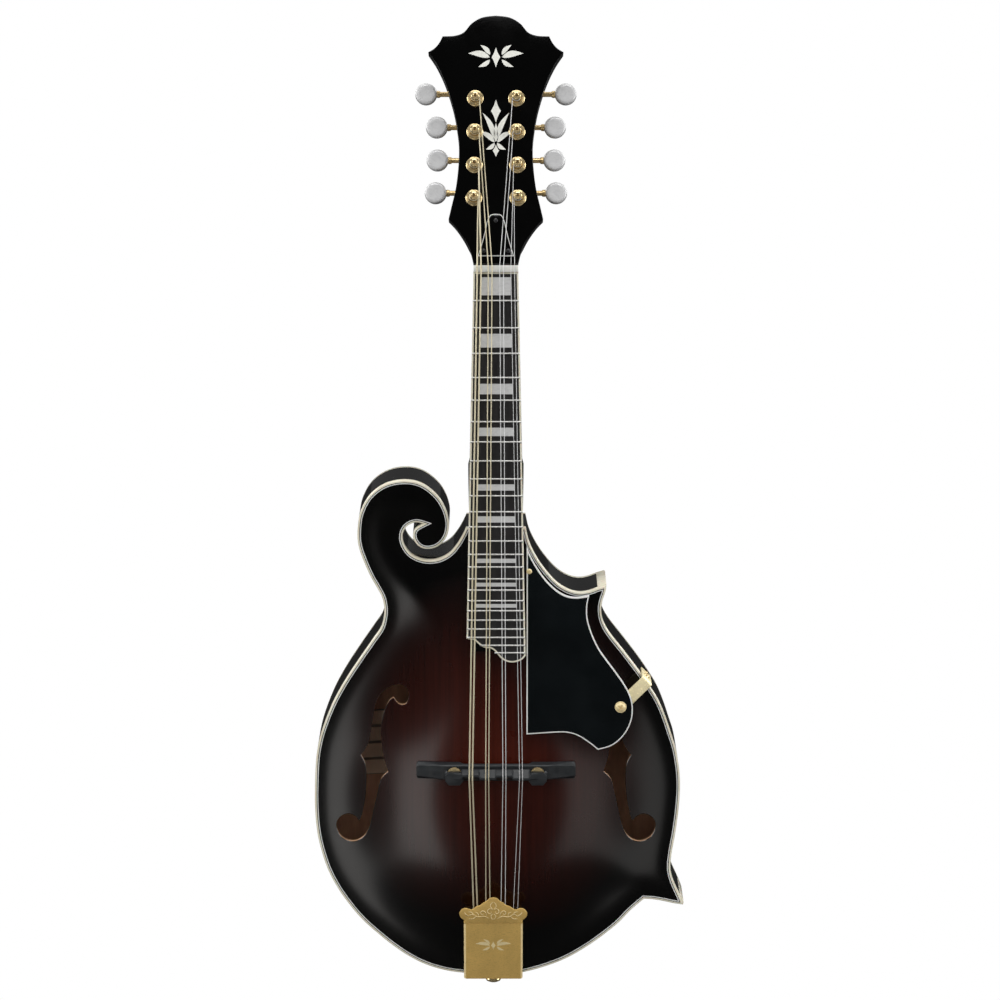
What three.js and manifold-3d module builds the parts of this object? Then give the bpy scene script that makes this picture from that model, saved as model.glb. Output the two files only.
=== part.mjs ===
// F-style mandolin: hollow carved body with a scroll and two points, glued-in neck with a raked
// head, eight geared tuners, floating bridge, tailpiece and raised pickguard.
// Millimetres. The front faces -Y, the head points up (+Z) and +X is the treble side.
// The origin is the middle of the neck's thickness at the nut, on the centre line.
import * as THREE from "three";
import { mergeVertices } from "three/addons/utils/BufferGeometryUtils.js";
import Module from "manifold-3d";

const wasm = await Module();
wasm.setup();

// Driving dimensions
const GAP = 0.3; // air between two pieces that touch on the real instrument
const RIM_FRONT = -10; // world y of the plane where the soundboard sits on the rim
const RIM_DEPTH = 39;
const TOP_THICKNESS = 4.5;
const BACK_THICKNESS = 4;
const TOP_ARCH = 11.5; // rise of the soundboard's middle over its edge
const BACK_ARCH = 13;
const ARCH_REACH = 80; // distance from the edge over which an arch rises
const BINDING_WIDTH = 2;
const PLATE_CELL = 20; // grid of the carved plates
const PLATE_STRETCH = { x: 136, zLow: -512, zHigh: -138 };
const LINING_WIDTH = 5;
const LINING_HEIGHT = 8;

const NECK_ANGLE = THREE.MathUtils.degToRad(5); // lean of the neck off the body's plane
const HEAD_ANGLE = THREE.MathUtils.degToRad(20); // lean of the head off the body's plane
const BOARD_FACE = 0.3; // depth of the fingerboard's face at the nut, behind the rim plane
const BOARD_THICKNESS = 6;
const NECK_JOINT = -177; // where the neck's heel meets the rim
const NECK_HALF_NUT = 15.3;
const NECK_HALF_JOINT = 19;
const NECK_BACK_NUT = 20.4; // depth of the neck's back under the board's face
const NECK_BACK_JOINT = 22.5;
const NUT_FACE = -1.1; // the nut's front, proud of the board's face
const NUT_LENGTH = 4.4;
const HEAD_THICKNESS = 16;
const HEADPLATE_THICKNESS = 2;

const POST_HEIGHTS = [48, 70.9, 94, 117.3]; // along the head, from the nut
const POST_RADIUS = 3;
const POST_TIP = 9.5; // how far a post stands proud of the head
const WORM_RISE = 7.4; // worm axis above the post's axis
const WORM_DEPTH = 20.2; // worm axis behind the head's face
const BUTTON_CENTRES = [41.3, 40.1, 40.6, 48]; // from the centre line, lowest tuner first
const BUTTON_RADIUS = 7.55;
const GEAR_TEETH = 14;

const BRIDGE_Z = -347.5; // the strings break over the saddle 350 mm from the nut
const BRIDGE_DEPTH = 12;
const BRIDGE_POST_X = 28.8;
const SADDLE_CREST = -32.4; // depth of the saddle's top, in front of the rim plane
const TAIL_X = -1.9; // the tailpiece sits a little to the bass side
const TAIL_LEAN = THREE.MathUtils.degToRad(11.9);
const PIN_DEPTH = 19.5; // end pin's axis behind the rim plane

const STRINGS = [
  { name: "string_g_outer", nut: -12.7, saddle: -18.4, tail: -15.1, radius: 0.5 },
  { name: "string_g_inner", nut: -10.1, saddle: -16.3, tail: -12.3, radius: 0.5 },
  { name: "string_d_outer", nut: -5.2, saddle: -7.1, tail: -7.1, radius: 0.33 },
  { name: "string_d_inner", nut: -2.6, saddle: -5, tail: -4, radius: 0.33 },
  { name: "string_a_inner", nut: 2.6, saddle: 4.8, tail: 3.2, radius: 0.2 },
  { name: "string_a_outer", nut: 5.2, saddle: 6.9, tail: 6.4, radius: 0.2 },
  { name: "string_e_inner", nut: 10.2, saddle: 16.3, tail: 11.3, radius: 0.15 },
  { name: "string_e_outer", nut: 12.7, saddle: 18.4, tail: 14.5, radius: 0.15 },
];
const POST_OF_STRING = [0, 1, 2, 3, 3, 2, 1, 0]; // index into POST_HEIGHTS
const STRING_AT_POST = [-3.6, -6.2, -5.4, -5.4]; // height over the head at each post

// The body's outline as (x, z), clockwise from the neck's treble side. Each run is one smooth
// curve, and the runs meet in the outline's sharp corners.
const OUTLINE_RUNS = [
  { step: 9, points: [[20.5, -177.4], [23, -188], [28.3, -199], [34.7, -208.3], [42, -216.4],
    [49.5, -221.3], [57, -223.4], [64, -222.6], [70.5, -220.2], [76, -218.6]] },
  { step: 12, points: [[76, -218.6], [75.6, -223], [73.8, -228.5], [72.8, -235], [73.5, -241.5],
    [76, -248], [80.2, -254.5], [88, -264.5], [99, -279.2], [107.5, -291.8], [113.4, -301.8],
    [118, -313], [122, -325], [125.4, -336], [128, -352], [128.5, -366], [127.4, -382],
    [125.5, -397], [123.2, -411], [122.3, -421], [123.2, -427.7], [125.5, -434.5],
    [129, -442.3], [131.7, -449.3]] },
  { step: 14, points: [[131.7, -449.3], [124.8, -448.3], [117.7, -446.7], [111, -445.5],
    [104, -445]] },
  { step: 14, points: [[104, -445], [94.5, -453.5], [84, -464.6], [65, -479.5], [45, -491],
    [20.5, -499], [-1, -501.3], [-22.5, -499.8], [-35, -498], [-48.3, -494], [-60.3, -488],
    [-72.5, -479.5], [-84.2, -469.6], [-95, -459.2], [-104.6, -447], [-111.8, -435.8],
    [-117.8, -423.6], [-122, -410.5], [-124.8, -398], [-126.3, -383], [-126.5, -366],
    [-125.5, -344], [-123, -329], [-118.4, -314.6], [-112.3, -300.2], [-104.3, -285.8],
    [-95, -271.4], [-85.3, -257.1], [-79.6, -248.5], [-77.4, -239.8], [-77.3, -233.3],
    [-78.7, -226.5], [-82.2, -219.6], [-86.6, -211.6], [-90.8, -201.8], [-94, -192.8]] },
  { step: 7, points: [[-94, -192.8], [-95.3, -185.5], [-95.2, -178], [-94.2, -170], [-92, -163.5],
    [-88.6, -157.2], [-84, -152], [-77.2, -147.4], [-69.4, -144.8], [-60.6, -144.2],
    [-52.7, -145.8], [-45.5, -150], [-38.8, -156.7], [-34.4, -164.8], [-32.3, -172.9],
    [-32.5, -178.5], [-34, -183.7], [-37.1, -188.2], [-41.5, -191.4], [-47, -192.5],
    [-52, -191.3], [-55.8, -187.4], [-57.2, -182.3], [-55.4, -177.8], [-50.2, -174.7]] },
  { step: 6.5, points: [[-50.2, -174.7], [-53.7, -173.7], [-57.3, -174.1], [-61.5, -176.6],
    [-63.9, -180.9], [-64.2, -185.6], [-62.4, -191], [-58.3, -196.2], [-52.2, -199.4],
    [-45.9, -200.4], [-38.9, -199.4], [-31.9, -195.4], [-26.6, -189], [-23, -182.8],
    [-20.5, -177.4]] },
];

// The soundbox inside the ribs; the scroll and the points outside it are solid blocks.
const SOUNDBOX = [[20, -190], [29, -205], [38, -217], [49, -225.5], [62, -229], [69.5, -238],
  [73, -249], [84, -265], [96, -281], [109.5, -302], [118.5, -325], [124.5, -352], [125, -372],
  [121, -403], [115, -430], [99, -444.5], [81, -462.5], [44, -487.5], [-1, -497.5],
  [-46, -490.5], [-82, -467], [-102, -444.5], [-115, -421.5], [-122, -396], [-123.3, -366],
  [-120, -330], [-109, -301.5], [-92, -273], [-76.5, -248], [-74, -233], [-79, -217],
  [-84, -204], [-72, -200.5], [-58, -203.5], [-44, -205.5], [-31, -200], [-20, -190]];

// Helpers
const vector2 = ([x, y]) => new THREE.Vector2(x, y);

// Points along a smooth curve through the given ones, about one step apart.
function along(points, step) {
  const curve = new THREE.SplineCurve(points.map(vector2));
  return curve.getSpacedPoints(Math.max(2, Math.round(curve.getLength() / step)));
}

function closedCurve(points, step) {
  const ring = along([...points, points[0]], step);
  ring.pop();
  return ring;
}

// The smooth runs joined at their corners, as one closed ring of points.
function joinRuns(runs) {
  const ring = runs.flatMap(({ points, step }) => along(points, step).slice(0, -1));
  return [...ring, vector2(runs.at(-1).points.at(-1))];
}

// A closed ring moved inwards by a distance; sharp corners keep a limited mitre.
function inset(ring, distance) {
  const turn = THREE.ShapeUtils.isClockWise(ring) ? 1 : -1;
  return ring.map((point, i) => {
    const before = ring.at(i - 1);
    const after = ring[(i + 1) % ring.length];
    const a = point.clone().sub(before).normalize();
    const b = after.clone().sub(point).normalize();
    const normal = new THREE.Vector2(a.y + b.y, -a.x - b.x).normalize().multiplyScalar(turn);
    const cosine = Math.max(0.5, Math.abs(normal.x * a.y - normal.y * a.x));
    return point.clone().addScaledVector(normal, distance / cosine);
  });
}

// A ring of (x, z) points made into a slab between two depths y.
function slab(ring, front, back) {
  return new THREE.ExtrudeGeometry(new THREE.Shape(ring),
    { depth: back - front, bevelEnabled: false }).rotateX(Math.PI / 2).translate(0, back, 0);
}

// The same between an outer and an inner ring.
const ringSlab = (outer, inner, front, back) =>
  solid(slab(outer, front, back)).subtract(solid(slab(inner, front - 1, back + 1)));

// A ring of (y, z) points made into a bar of the given width, centred on x.
function bar(ring, width) {
  const shape = new THREE.Shape(ring.map(vector2));
  return new THREE.ExtrudeGeometry(shape, { depth: width, bevelEnabled: false })
    .translate(0, 0, -width / 2).applyMatrix4(new THREE.Matrix4().set(
      0, 0, 1, 0, 1, 0, 0, 0, 0, 1, 0, 0, 0, 0, 0, 1));
}

function box(low, high) {
  const size = high.map((value, i) => value - low[i]);
  return new THREE.BoxGeometry(...size).translate(...low.map((value, i) => value + size[i] / 2));
}

// A turned piece with its axis along y, from (radius, y) pairs.
function turned(profile, segments) {
  return new THREE.LatheGeometry(profile.map(vector2), segments);
}

// A drum along y between two depths.
function drum(x, z, radius, front, back, segments = 12) {
  return new THREE.CylinderGeometry(radius, radius, back - front, segments)
    .translate(x, (front + back) / 2, z);
}

function solid(geometry) {
  const bare = geometry.index ? geometry.toNonIndexed() : geometry.clone();
  bare.deleteAttribute("normal");
  bare.deleteAttribute("uv");
  const merged = mergeVertices(bare, 1e-4);
  return new wasm.Manifold(new wasm.Mesh({
    numProp: 3,
    vertProperties: merged.attributes.position.array,
    triVerts: new Uint32Array(merged.index.array),
  }));
}

function geometryOf(manifold) {
  const mesh = manifold.getMesh();
  const geometry = new THREE.BufferGeometry();
  geometry.setAttribute("position", new THREE.BufferAttribute(mesh.vertProperties, 3));
  geometry.setIndex(new THREE.BufferAttribute(mesh.triVerts, 1));
  const flat = geometry.toNonIndexed();
  flat.computeVertexNormals();
  return flat;
}

const join = (first, ...others) => others.reduce((sum, next) => sum.add(solid(next)), solid(first));
const cut = (from, ...tools) => tools.reduce((rest, tool) => rest.subtract(solid(tool)), from);

const finish = (color, roughness, metalness = 0) =>
  new THREE.MeshStandardMaterial({ color, roughness, metalness });
const MATERIALS = {
  lacquer: finish(0x140a07, 0.12),
  maple: finish(0xb98a55, 0.5),
  spruce: finish(0xd9b981, 0.6),
  ivoroid: finish(0xf4eed6, 0.35),
  ebony: finish(0x232122, 0.45),
  bone: finish(0xe9e4d2, 0.4),
  plastic: finish(0x0c0f12, 0.15),
  pearloid: finish(0xc6c6c6, 0.25),
  gold: finish(0xd9ad55, 0.22, 1),
  steel: finish(0xc4c6c9, 0.3, 1),
  bronze: finish(0xb98d52, 0.35, 1),
};

function piece(group, name, shape, material) {
  const geometry = shape.isBufferGeometry ? shape : geometryOf(shape);
  const mesh = new THREE.Mesh(geometry, MATERIALS[material]);
  mesh.name = name;
  group.add(mesh);
  return mesh;
}

// Frames: the body's plane, the neck's and the head's
const mandolin = new THREE.Group();
const body = new THREE.Group();
body.position.y = RIM_FRONT;
const neckFrame = new THREE.Group();
neckFrame.position.set(0, BOARD_FACE, 0);
neckFrame.rotation.x = -NECK_ANGLE;
const headFrame = new THREE.Group();
headFrame.position.set(0, BOARD_FACE + 1, 3);
headFrame.rotation.x = -HEAD_ANGLE;
mandolin.add(body);
body.add(neckFrame, headFrame);
for (const frame of [neckFrame, headFrame]) frame.updateMatrix();

// The body
const outline = joinRuns(OUTLINE_RUNS);
const soundbox = closedCurve(SOUNDBOX, 16);

// Smooth distance from the outline: near an edge it is the distance to that edge, and further
// in the edges' pulls blend, so that a carved arch has no creases.
function distanceIn(x, z) {
  let pull = 0;
  outline.forEach((point, i) => {
    const next = outline[(i + 1) % outline.length];
    const middle = point.clone().add(next).multiplyScalar(0.5);
    const gap = Math.max(4, Math.hypot(middle.x - x, middle.y - z));
    pull += point.distanceTo(next) / gap ** 4;
  });
  return Math.cbrt(Math.PI / 2 / pull);
}

function archAt(x, z, rise) {
  const reach = Math.min(1, Math.max(0, distanceIn(x, z) - 4) / ARCH_REACH);
  return rise * reach * reach * (3 - 2 * reach);
}

// A slab with carved faces: depth = face + sign * arch on each side.
function carved(front, back, rise, sign) {
  const { x, zLow, zHigh } = PLATE_STRETCH;
  const columns = Math.round((2 * x) / PLATE_CELL);
  const rows = Math.round((zHigh - zLow) / PLATE_CELL);
  const sheet = new THREE.BoxGeometry(2 * x, back - front, zHigh - zLow, columns, 1, rows);
  sheet.translate(0, (front + back) / 2, (zLow + zHigh) / 2);
  const at = sheet.attributes.position;
  for (let i = 0; i < at.count; i += 1) {
    at.setY(i, at.getY(i) + sign * archAt(at.getX(i), at.getZ(i), rise));
  }
  return solid(sheet);
}

// Half of an f-hole as (x, z) for the treble side: the upper eye, the stem and the lower eye.
const F_HOLE = [[62, -301], [60.5, -295], [62.6, -290], [67.7, -288.2], [73.5, -290],
  [79.5, -295], [83.3, -302], [85.5, -313], [87, -323], [89.3, -332], [94, -339],
  [90.8, -346], [90.2, -357], [91.3, -371], [94.8, -386], [98, -383.8], [102.5, -382],
  [107.5, -383.5], [111, -387.5], [111.3, -393], [108.6, -398.8], [103, -402], [97, -401.5],
  [91.5, -397], [88, -389], [85.6, -378], [82.8, -366], [80.3, -356], [75, -350],
  [77.8, -341], [79.2, -332], [80, -322], [79, -312], [76, -303], [71.5, -297.5],
  [68.5, -301], [65.5, -302.3]];
const fHole = (side) => closedCurve(F_HOLE, 9).map((p) => new THREE.Vector2(side * p.x, p.y));

const plateRing = inset(outline, BINDING_WIDTH + GAP);
const soundboard = cut(
  solid(slab(plateRing, -60, 60)).intersect(carved(-TOP_THICKNESS, -GAP, TOP_ARCH, -1)),
  slab(fHole(1), -60, 60),
  slab(fHole(-1), -60, 60),
);
piece(body, "soundboard", soundboard, "lacquer");

const backFace = RIM_DEPTH + GAP;
const backPlate = solid(slab(outline, -60, 120))
  .intersect(carved(backFace, backFace + BACK_THICKNESS, BACK_ARCH, 1));
piece(body, "back_plate", backPlate, "lacquer");

piece(body, "top_binding",
  ringSlab(outline, inset(outline, BINDING_WIDTH), -TOP_THICKNESS, -GAP), "ivoroid");

const pinHole = new THREE.CylinderGeometry(4.3, 4.3, 36, 12).rotateX(Math.PI / 2)
  .translate(TAIL_X, PIN_DEPTH, -502);
const rim = cut(ringSlab(outline, soundbox, 0, RIM_DEPTH), pinHole);
piece(body, "rim", rim, "lacquer");

// Kerfed linings run round the soundbox just under both plates, let into the end blocks.
const liningOuter = inset(soundbox, GAP);
const liningInner = inset(soundbox, GAP + LINING_WIDTH);
const lining = (front) => ringSlab(liningOuter, liningInner, front, front + LINING_HEIGHT);
const backLiningFront = RIM_DEPTH - GAP - LINING_HEIGHT;
piece(body, "top_lining", lining(GAP), "maple");
piece(body, "back_lining", lining(backLiningFront), "maple");

const blockPrism = solid(slab(liningOuter, GAP, RIM_DEPTH - GAP));
const liningRoom = (front, back) =>
  ringSlab(inset(soundbox, -1), inset(soundbox, LINING_WIDTH + 2 * GAP), front, back);
const endBlock = (low, high) => blockPrism.intersect(solid(box(low, high)))
  .subtract(liningRoom(-1, LINING_HEIGHT + 2 * GAP))
  .subtract(liningRoom(backLiningFront - GAP, RIM_DEPTH + 1));
const neckBlock = endBlock([-34, -5, -226], [34, 60, -180]);
piece(body, "neck_block", neckBlock, "maple");
const tailBlock = cut(endBlock([-32, -5, -510], [30, 60, -478]), pinHole);
piece(body, "tail_block", tailBlock, "maple");

// Two tone bars lie under the soundboard beside the f-holes.
for (const [name, side] of [["tone_bar_bass", -1], ["tone_bar_treble", 1]]) {
  const bottom = 3.5;
  const strip = slab([[side * 27, -252], [side * 44, -445], [side * 51, -445], [side * 34, -252]]
    .map(vector2), -40, bottom);
  const under = carved(0, 80, TOP_ARCH, -1);
  piece(body, name, solid(strip).intersect(under), "spruce");
}

// The neck: shaft, heel, head and the riser that carries the board over the soundboard
function neckShaft() {
  const half = [];
  for (let i = 0; i <= 6; i += 1) {
    const angle = (Math.PI * i) / 12;
    half.push([Math.cos(angle) ** 0.8, Math.sin(angle) ** 0.9]);
  }
  const section = [...half, ...half.slice(0, -1).reverse().map(([x, y]) => [-x, y])];
  const length = -NECK_JOINT - GAP + 4;
  const shaft = new THREE.ExtrudeGeometry(new THREE.Shape(section.map(vector2)),
    { depth: length, steps: 6, bevelEnabled: false }).translate(0, 0, 4 - length);
  const at = shaft.attributes.position;
  const top = BOARD_THICKNESS + GAP;
  for (let i = 0; i < at.count; i += 1) {
    const down = Math.max(0, at.getZ(i) / NECK_JOINT);
    const halfWidth = THREE.MathUtils.lerp(NECK_HALF_NUT, NECK_HALF_JOINT, down);
    const back = THREE.MathUtils.lerp(NECK_BACK_NUT, NECK_BACK_JOINT, down);
    at.setXY(i, at.getX(i) * halfWidth, top + at.getY(i) * (back - top));
  }
  return shaft.applyMatrix4(neckFrame.matrix);
}

const HEAD_HALF = [[0, 175.3], [9.4, 174], [16.6, 169.8], [22, 163.6], [28.3, 161.2],
  [36.5, 160.8], [38.8, 156.2], [42, 152.4], [46.3, 149.7], [41.2, 142], [36.4, 132.3],
  [32.4, 121.5], [28.6, 108], [26.2, 94], [25.2, 82], [25.6, 69.5], [27.3, 55], [30, 43],
  [32.2, 33.5], [26.8, 27.6], [21.2, 19.2], [17.6, 11.5], [15.3, 2.5]];

function headRing(lowest) {
  const half = HEAD_HALF.filter(([, z]) => z > lowest);
  return [...half, ...half.slice(1).reverse().map(([x, z]) => [-x, z])].map(vector2);
}

const postX = (index, side) => side * (14.1 + (POST_HEIGHTS[3] - POST_HEIGHTS[index]) * 0.0122);

function postHoles(front, back) {
  return [-1, 1].flatMap((side) => POST_HEIGHTS.map((z, i) =>
    drum(postX(i, side), z, 4.2, front, back, 8)));
}

const headSlab = cut(
  solid(slab(headRing(0), HEADPLATE_THICKNESS + GAP, HEAD_THICKNESS)),
  ...postHoles(-5, 30),
);
const heelProfile = [[-3, NECK_JOINT + GAP], [RIM_DEPTH + BACK_THICKNESS, NECK_JOINT + GAP],
  [RIM_DEPTH + BACK_THICKNESS, -171], [32, -168], [20, -161], [12, -150], [7, -132], [-3, -132]];
const riserTop = BOARD_THICKNESS + GAP;
const riser = box([-17, riserTop, -262], [17, 32, NECK_JOINT + 1]).applyMatrix4(neckFrame.matrix);
const underRiser = carved(-TOP_THICKNESS - GAP, 90, TOP_ARCH, -1)
  .intersect(solid(box([-60, -60, -520], [60, 90, NECK_JOINT + GAP])));
const nutSeat = box([-20, -3, -GAP], [20, riserTop, NUT_LENGTH + GAP])
  .applyMatrix4(neckFrame.matrix);
const neck = cut(
  join(neckShaft(), bar(heelProfile, 30), riser).subtract(underRiser)
    .add(headSlab.transform(headFrame.matrix.elements)),
  nutSeat,
);
piece(body, "neck", neck, "lacquer");

const headplate = cut(solid(slab(headRing(0), 0, HEADPLATE_THICKNESS)), ...postHoles(-5, 10));
piece(headFrame, "headplate", headplate, "plastic");

// The fingerboard widens towards the body and ends in a scrolled tongue.
const BOARD_END = [[20.4, -264.5], [18.2, -267.1], [15, -268.6], [11.3, -269.3], [7.6, -268.7],
  [4.5, -267.1], [1.8, -264.5], [-0.8, -261.3], [-3.5, -259.5], [-7.1, -259.1], [-9.7, -258.1],
  [-12.4, -255.9], [-15, -253.6], [-17.8, -253.2], [-20.2, -252.6]];
const boardRing = [[NECK_HALF_NUT, -GAP], ...BOARD_END, [-NECK_HALF_NUT, -GAP]].map(vector2);
piece(neckFrame, "fretboard", slab(boardRing, 0, BOARD_THICKNESS), "ebony");
piece(neckFrame, "nut",
  box([-NECK_HALF_NUT, NUT_FACE, 0], [NECK_HALF_NUT, BOARD_THICKNESS, NUT_LENGTH]), "bone");

const COVER_HALF = [[0, 36.6], [3.8, 35.8], [6.1, 31.2], [7.2, 26], [8.9, 19], [12.3, 7.4]];
const coverRing = [...COVER_HALF, ...COVER_HALF.slice(1).reverse().map(([x, z]) => [-x, z])];
piece(headFrame, "truss_rod_cover", slab(coverRing.map(vector2), -1.9, -GAP), "plastic");

// The tuners: four machines on a plate at each side of the head
const EAR_INNER = 5.4; // from the post's axis to an ear's near face
const EAR_THICKNESS = 1.3;

function tunerPlate(side) {
  const front = HEAD_THICKNESS + GAP;
  const back = front + 1.2;
  const inner = side * 8.6;
  const outer = side * 21.2;
  const [low, high] = [Math.min(inner, outer), Math.max(inner, outer)];
  let plate = solid(box([low, front, 40], [high, back, 131]));
  POST_HEIGHTS.forEach((z, i) => {
    const x = postX(i, side);
    for (const direction of [-1, 1]) {
      const near = x + direction * EAR_INNER;
      const far = near + direction * EAR_THICKNESS;
      const ear = box([Math.min(near, far), back - 0.4, z + WORM_RISE - 2.9],
        [Math.max(near, far), WORM_DEPTH + 2.9, z + WORM_RISE + 2.9]);
      plate = plate.add(solid(ear));
    }
    const bore = drum(0, 0, 1.95, -12, 12, 10).rotateZ(Math.PI / 2)
      .translate(x, WORM_DEPTH, z + WORM_RISE);
    plate = cut(plate, bore, drum(x, z, POST_RADIUS + 0.35, front - 1, back + 1));
  });
  return plate;
}

// A post with its worm wheel; its axis runs along y through the origin.
function stringPost() {
  const shaft = turned([[0, -POST_TIP], [2.3, -POST_TIP], [POST_RADIUS, -POST_TIP + 0.8],
    [POST_RADIUS, -7.4], [2.5, -6.4], [2.5, -3.4], [POST_RADIUS, -2.6],
    [POST_RADIUS, WORM_DEPTH - 1.6], [0, WORM_DEPTH - 1.6]], 8);
  const rim = [];
  for (let i = 0; i < 2 * GEAR_TEETH; i += 1) {
    const angle = (Math.PI * i) / GEAR_TEETH;
    const radius = i % 2 ? 3.8 : 4.6;
    rim.push(new THREE.Vector2(radius * Math.cos(angle), radius * Math.sin(angle)));
  }
  return join(shaft, slab(rim, WORM_DEPTH - 2.1, WORM_DEPTH + 2.1));
}

// A worm with its shaft, along x from the post's axis outwards.
function wormShaft(reach) {
  const ridges = [];
  for (let i = 0; i < 5; i += 1) {
    ridges.push([1.5, -4.2 + 1.8 * i], [2.4, -3.3 + 1.8 * i]);
  }
  const earFar = EAR_INNER + EAR_THICKNESS;
  return turned([[0, -earFar - 0.8], [1.6, -earFar - 0.8], [1.6, -4.6], ...ridges, [1.6, 4.8],
    [1.6, earFar + GAP], [2.4, earFar + GAP], [2.4, earFar + 1.6], [1.75, earFar + 1.6],
    [1.75, reach], [0, reach]], 6).rotateZ(-Math.PI / 2);
}

const keyButton = () => turned([[0, -3.2], [5.9, -3.2], [7.1, -2.3], [BUTTON_RADIUS, -1],
  [BUTTON_RADIUS, 1], [7.1, 2.3], [5.9, 3.2], [0, 3.2]], 12);

for (const [sideName, side] of [["bass", -1], ["treble", 1]]) {
  piece(headFrame, `tuner_plate_${sideName}`, tunerPlate(side), "gold");
  POST_HEIGHTS.forEach((z, i) => {
    const label = `${sideName}_${i + 1}`;
    const x = postX(i, side);
    piece(headFrame, `string_post_${label}`, stringPost(), "gold").position.set(x, 0, z);
    const machine = new THREE.Group();
    machine.position.set(x, WORM_DEPTH, z + WORM_RISE);
    machine.rotation.y = side > 0 ? 0 : Math.PI;
    headFrame.add(machine);
    const reach = BUTTON_CENTRES[i] - Math.abs(x);
    piece(machine, `worm_shaft_${label}`, wormShaft(reach - BUTTON_RADIUS - GAP), "gold");
    piece(machine, `key_button_${label}`, keyButton(), "pearloid").position.x = reach;
  });
}

// The bridge: a footed base, two posts with thumbwheels and a height-adjustable saddle
const BASE_TOP = -21.6;
const WHEEL_FRONT = -26.6;
const WHEEL_BACK = -24.2;
const SADDLE_BACK = -26.9;

// A front view in (x, y) made into a bar along z, centred on the bridge.
function bridgeBar(ring, depth) {
  const shape = new THREE.Shape(ring.map(vector2));
  return new THREE.ExtrudeGeometry(shape, { depth, bevelEnabled: false })
    .translate(0, 0, BRIDGE_Z - depth / 2);
}
const mirrored = (half) => [...half, ...half.slice().reverse().map(([x, y]) => [-x, y])];
const footRing = mirrored([[24, -19.2], [24, -10], [55.2, -10], [55.2, -17.4], [47, -19],
  [38, BASE_TOP]]);
const clearOfTop = carved(-TOP_THICKNESS - GAP, 60, TOP_ARCH, -1);
const drillPost = (radius, front, back) => [-1, 1].map((side) =>
  drum(side * BRIDGE_POST_X, BRIDGE_Z, radius, front, back, 8));
const base = cut(solid(bridgeBar(footRing, BRIDGE_DEPTH)).subtract(clearOfTop),
  ...drillPost(2.3, -30, -18.2));
piece(body, "bridge_base", base, "ebony");

const saddleRing = mirrored([[35.6, SADDLE_BACK], [35.6, -28.6], [33, -30.6],
  [24, SADDLE_CREST]]);
const saddle = cut(
  join(bridgeBar(saddleRing, 4.6), ...[-1, 1].map((side) =>
    drum(side * BRIDGE_POST_X, BRIDGE_Z, 5.8, -30.4, SADDLE_BACK, 8))),
  ...drillPost(2.3, -30.6, -20),
);
piece(body, "bridge_saddle", saddle, "ebony");

for (const [sideName, side] of [["bass", -1], ["treble", 1]]) {
  const x = side * BRIDGE_POST_X;
  piece(body, `bridge_post_${sideName}`, drum(x, BRIDGE_Z, 2, -28.8, -18.5, 8), "gold");
  const wheel = new THREE.Shape().absarc(0, 0, 6.5, 0, 2 * Math.PI);
  wheel.holes.push(new THREE.Path().absarc(0, 0, 2.3, 0, 2 * Math.PI));
  const disc = new THREE.ExtrudeGeometry(wheel,
    { depth: WHEEL_BACK - WHEEL_FRONT, bevelEnabled: false, curveSegments: 8 });
  disc.rotateX(Math.PI / 2).translate(x, WHEEL_BACK, BRIDGE_Z);
  piece(body, `thumbwheel_${sideName}`, disc, "gold");
}

// The tailpiece: a bent plate with string hooks, and a cover that slides off it
const TAIL_END = -502.2;
const plateSide = [[-11.3, -450], [-6.6, -501.4], [-6.6, TAIL_END], [30, TAIL_END],
  [30, TAIL_END - 1.2], [-7.8, TAIL_END - 1.2], [-12.5, -450]];
const HOOK_Z = -466;
const hookX = STRINGS.map(({ tail }) => tail - TAIL_X);
let tailBase = cut(solid(bar(plateSide, 36)), pinHole.clone().translate(-TAIL_X, 0, 0));
tailBase = tailBase.add(solid(box([-16.5, -12.8, HOOK_Z - 5.5], [16.5, -9.9, HOOK_Z - 2.2])));
for (const x of hookX) {
  tailBase = tailBase.add(solid(box([x - 0.6, -17.6, HOOK_Z - 4], [x + 0.6, -12, HOOK_Z - 2.4])));
}
piece(body, "tailpiece_base", tailBase, "gold").position.x = TAIL_X;

const COVER_Z = -437;
const COVER_DEPTH = -26;
const CROWN_HALF = [[0, 0], [2.6, -0.8], [4.7, -3], [7, -4.4], [9, -6.3], [11.6, -7.3],
  [14, -9.2], [16, -10], [17.8, -8.9], [20.5, -8.8], [22.8, -10.6], [23.7, -13.2],
  [22.5, -16.4], [19.6, -18.6], [20.6, -21], [20.6, -66]];
const crownRing = [...CROWN_HALF, ...CROWN_HALF.slice(1).reverse().map(([x, z]) => [-x, z])];
const cover = join(
  slab(crownRing.map(vector2), 0, 1),
  box([-20.6, 0.5, -66], [-19.6, 5.6, -22]),
  box([19.6, 0.5, -66], [20.6, 5.6, -22]),
);
const coverMesh = piece(body, "tailpiece_cover", cover, "gold");
coverMesh.position.set(TAIL_X, COVER_DEPTH, COVER_Z);
coverMesh.rotation.x = TAIL_LEAN;

const endPin = turned([[0, -514.2], [4.2, -514.2], [5.8, -511.4], [5, -509.5], [4.6, -507],
  [5.9, -505.2], [5.9, TAIL_END - 1.6], [4, TAIL_END - 1.6], [3.7, -486], [0, -486]], 12)
  .rotateX(Math.PI / 2);
piece(body, "end_pin", endPin.translate(TAIL_X, PIN_DEPTH, 0), "gold");

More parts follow.
